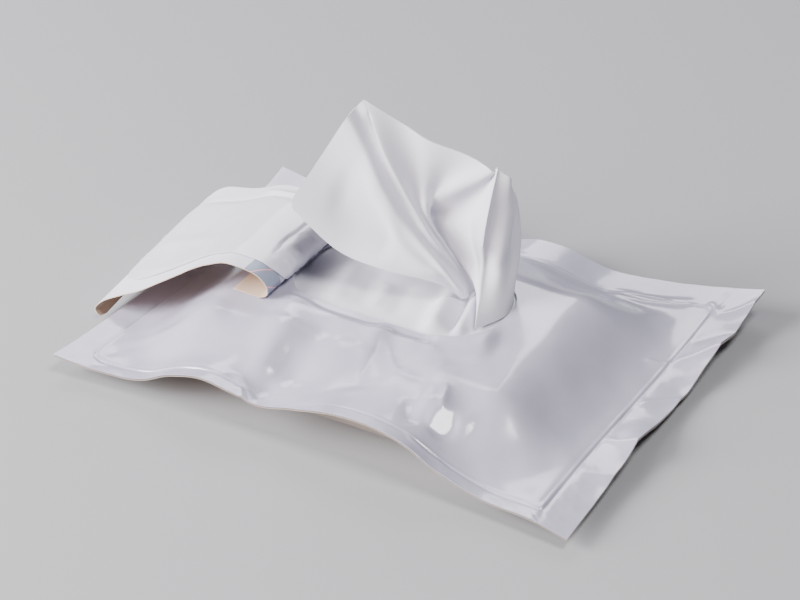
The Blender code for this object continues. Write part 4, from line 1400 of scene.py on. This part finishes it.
@dataclass
class Studio:
    """A plain pale floor, soft lights and the camera at the photograph's viewing angle."""

    camera_place: tuple[float, float, float] = (0.42202352, -0.59833919, 0.52723398)
    camera_right: tuple[float, float, float] = (0.8434271, 0.53256769, -0.07072752)
    camera_up: tuple[float, float, float] = (-0.26429894, 0.52593197, 0.80841922)
    camera_back: tuple[float, float, float] = (0.46773581, -0.66314947, 0.58434236)
    lens_mm: float = 108.0
    sensor_mm: float = 36.0
    clip_end: float = 20.0
    shift_right_px: float = -10.076
    shift_up_px: float = 45.078
    floor_colour: str = "#98989C"
    floor_radius: float = 3.0
    floor_corners: int = 96
    floor_roughness: float = 0.85
    world_colour: str = "#C9CBD2"
    world_strength: float = 0.10
    lamps: tuple[Lamp, ...] = (
        Lamp("key", (-0.72, -0.54, 0.44), 1.4, 0.8, 72.0, "#FFFFFF"),
        Lamp("spark", (0.42, -0.05, 0.90), 1.6, 0.46, 22.0, "#FFFFFF"),
        Lamp("back", (-0.44, 0.62, 0.65), 1.6, 0.7, 12.0, "#F8F8FF"),
        Lamp("fill", (-0.32, -0.92, 0.20), 1.2, 1.0, 14.0, "#FFE8D6"))

    def camera(self) -> None:
        """Makes the camera from its place and its three axes."""
        data = bpy.data.cameras.new("camera")
        data.lens = self.lens_mm
        data.sensor_width = self.sensor_mm
        data.clip_end = self.clip_end
        data.shift_x = self.shift_right_px / FRAME_WIDTH
        data.shift_y = self.shift_up_px / FRAME_WIDTH
        camera = bpy.data.objects.new("camera", data)
        bpy.context.scene.collection.objects.link(camera)
        axes = Matrix((self.camera_right, self.camera_up, self.camera_back)).transposed()
        camera.matrix_world = Matrix.Translation(self.camera_place) @ axes.to_4x4()
        bpy.context.scene.camera = camera

    def floor(self) -> None:
        """Makes the floor, a wide pale disc under the pouch, and the pale surroundings."""
        material, _, _ = new_shader("painted board", {
            "Base Color": linear(self.floor_colour), "Roughness": self.floor_roughness})
        turn = 2 * math.pi * shares_below_one(self.floor_corners)
        ring = np.stack((np.cos(turn), np.sin(turn), np.zeros_like(turn)), axis=-1)
        mesh = bpy.data.meshes.new("floor")
        mesh.from_pydata((ring * self.floor_radius).tolist(), [], [list(range(len(turn)))])
        mesh.materials.append(material)
        floor = bpy.data.objects.new("floor", mesh)
        bpy.context.scene.collection.objects.link(floor)
        world = bpy.data.worlds.new("studio")
        world.use_nodes = True
        background = world.node_tree.nodes["Background"]
        background.inputs["Color"].default_value = linear(self.world_colour)
        background.inputs["Strength"].default_value = self.world_strength
        bpy.context.scene.world = world

    def build(self) -> None:
        """Makes the camera, the floor and the lights."""
        self.camera()
        self.floor()
        for lamp in self.lamps:
            lamp.place()


def main() -> None:
    """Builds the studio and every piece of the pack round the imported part."""
    logging.basicConfig(level=logging.INFO, format="%(message)s")
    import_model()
    Studio().build()

    # The film is white; this lavender grey, darker all over, is painted shade and painted reflection
    # of dark surroundings.
    film = LaminateFilm("white film laminate painted grey with shade", "#B1AEBF", "#A9A6B8", 0.20).material()
    # The bottom film's warm brown is painted shade: the white film where it lies in shadow under the
    # hem.
    under = LaminateFilm("film laminate underside in painted shade", "#A2968F", "#998C86", 0.38).material()
    cut = LaminateFilm("cut film laminate", "#DEDCE8", "#D4D2E0", 0.30).material()
    paper = LabelPaper("label stock", "#DEDCE8", "#D5D3E0", 0.40, printed=True).material()
    # The label's outer face: its warm beige, darker than the white stock, is painted warm shade for
    # under the arch, and its reflection paints that warmth on the film there.
    paper_back_painted_warm_shade = LabelPaper("label stock outer face with painted warm shade", "#D6BFAC", "#CDB5A2", 0.55).material()
    cloth = Nonwoven().material()

    pouch = Pouch()
    pouch.top_film([film])
    pouch.bottom_film([under])
    label = ResealLabel(pouch)
    label.label([paper_back_painted_warm_shade, paper])
    label.patch([cut])
    wipes = Wipes(pouch)
    wipes.stack([cloth])
    wipes.next_wipe([cloth])
    wipes.drawn_wipe([cloth])


if __name__ == "__main__":
    main()
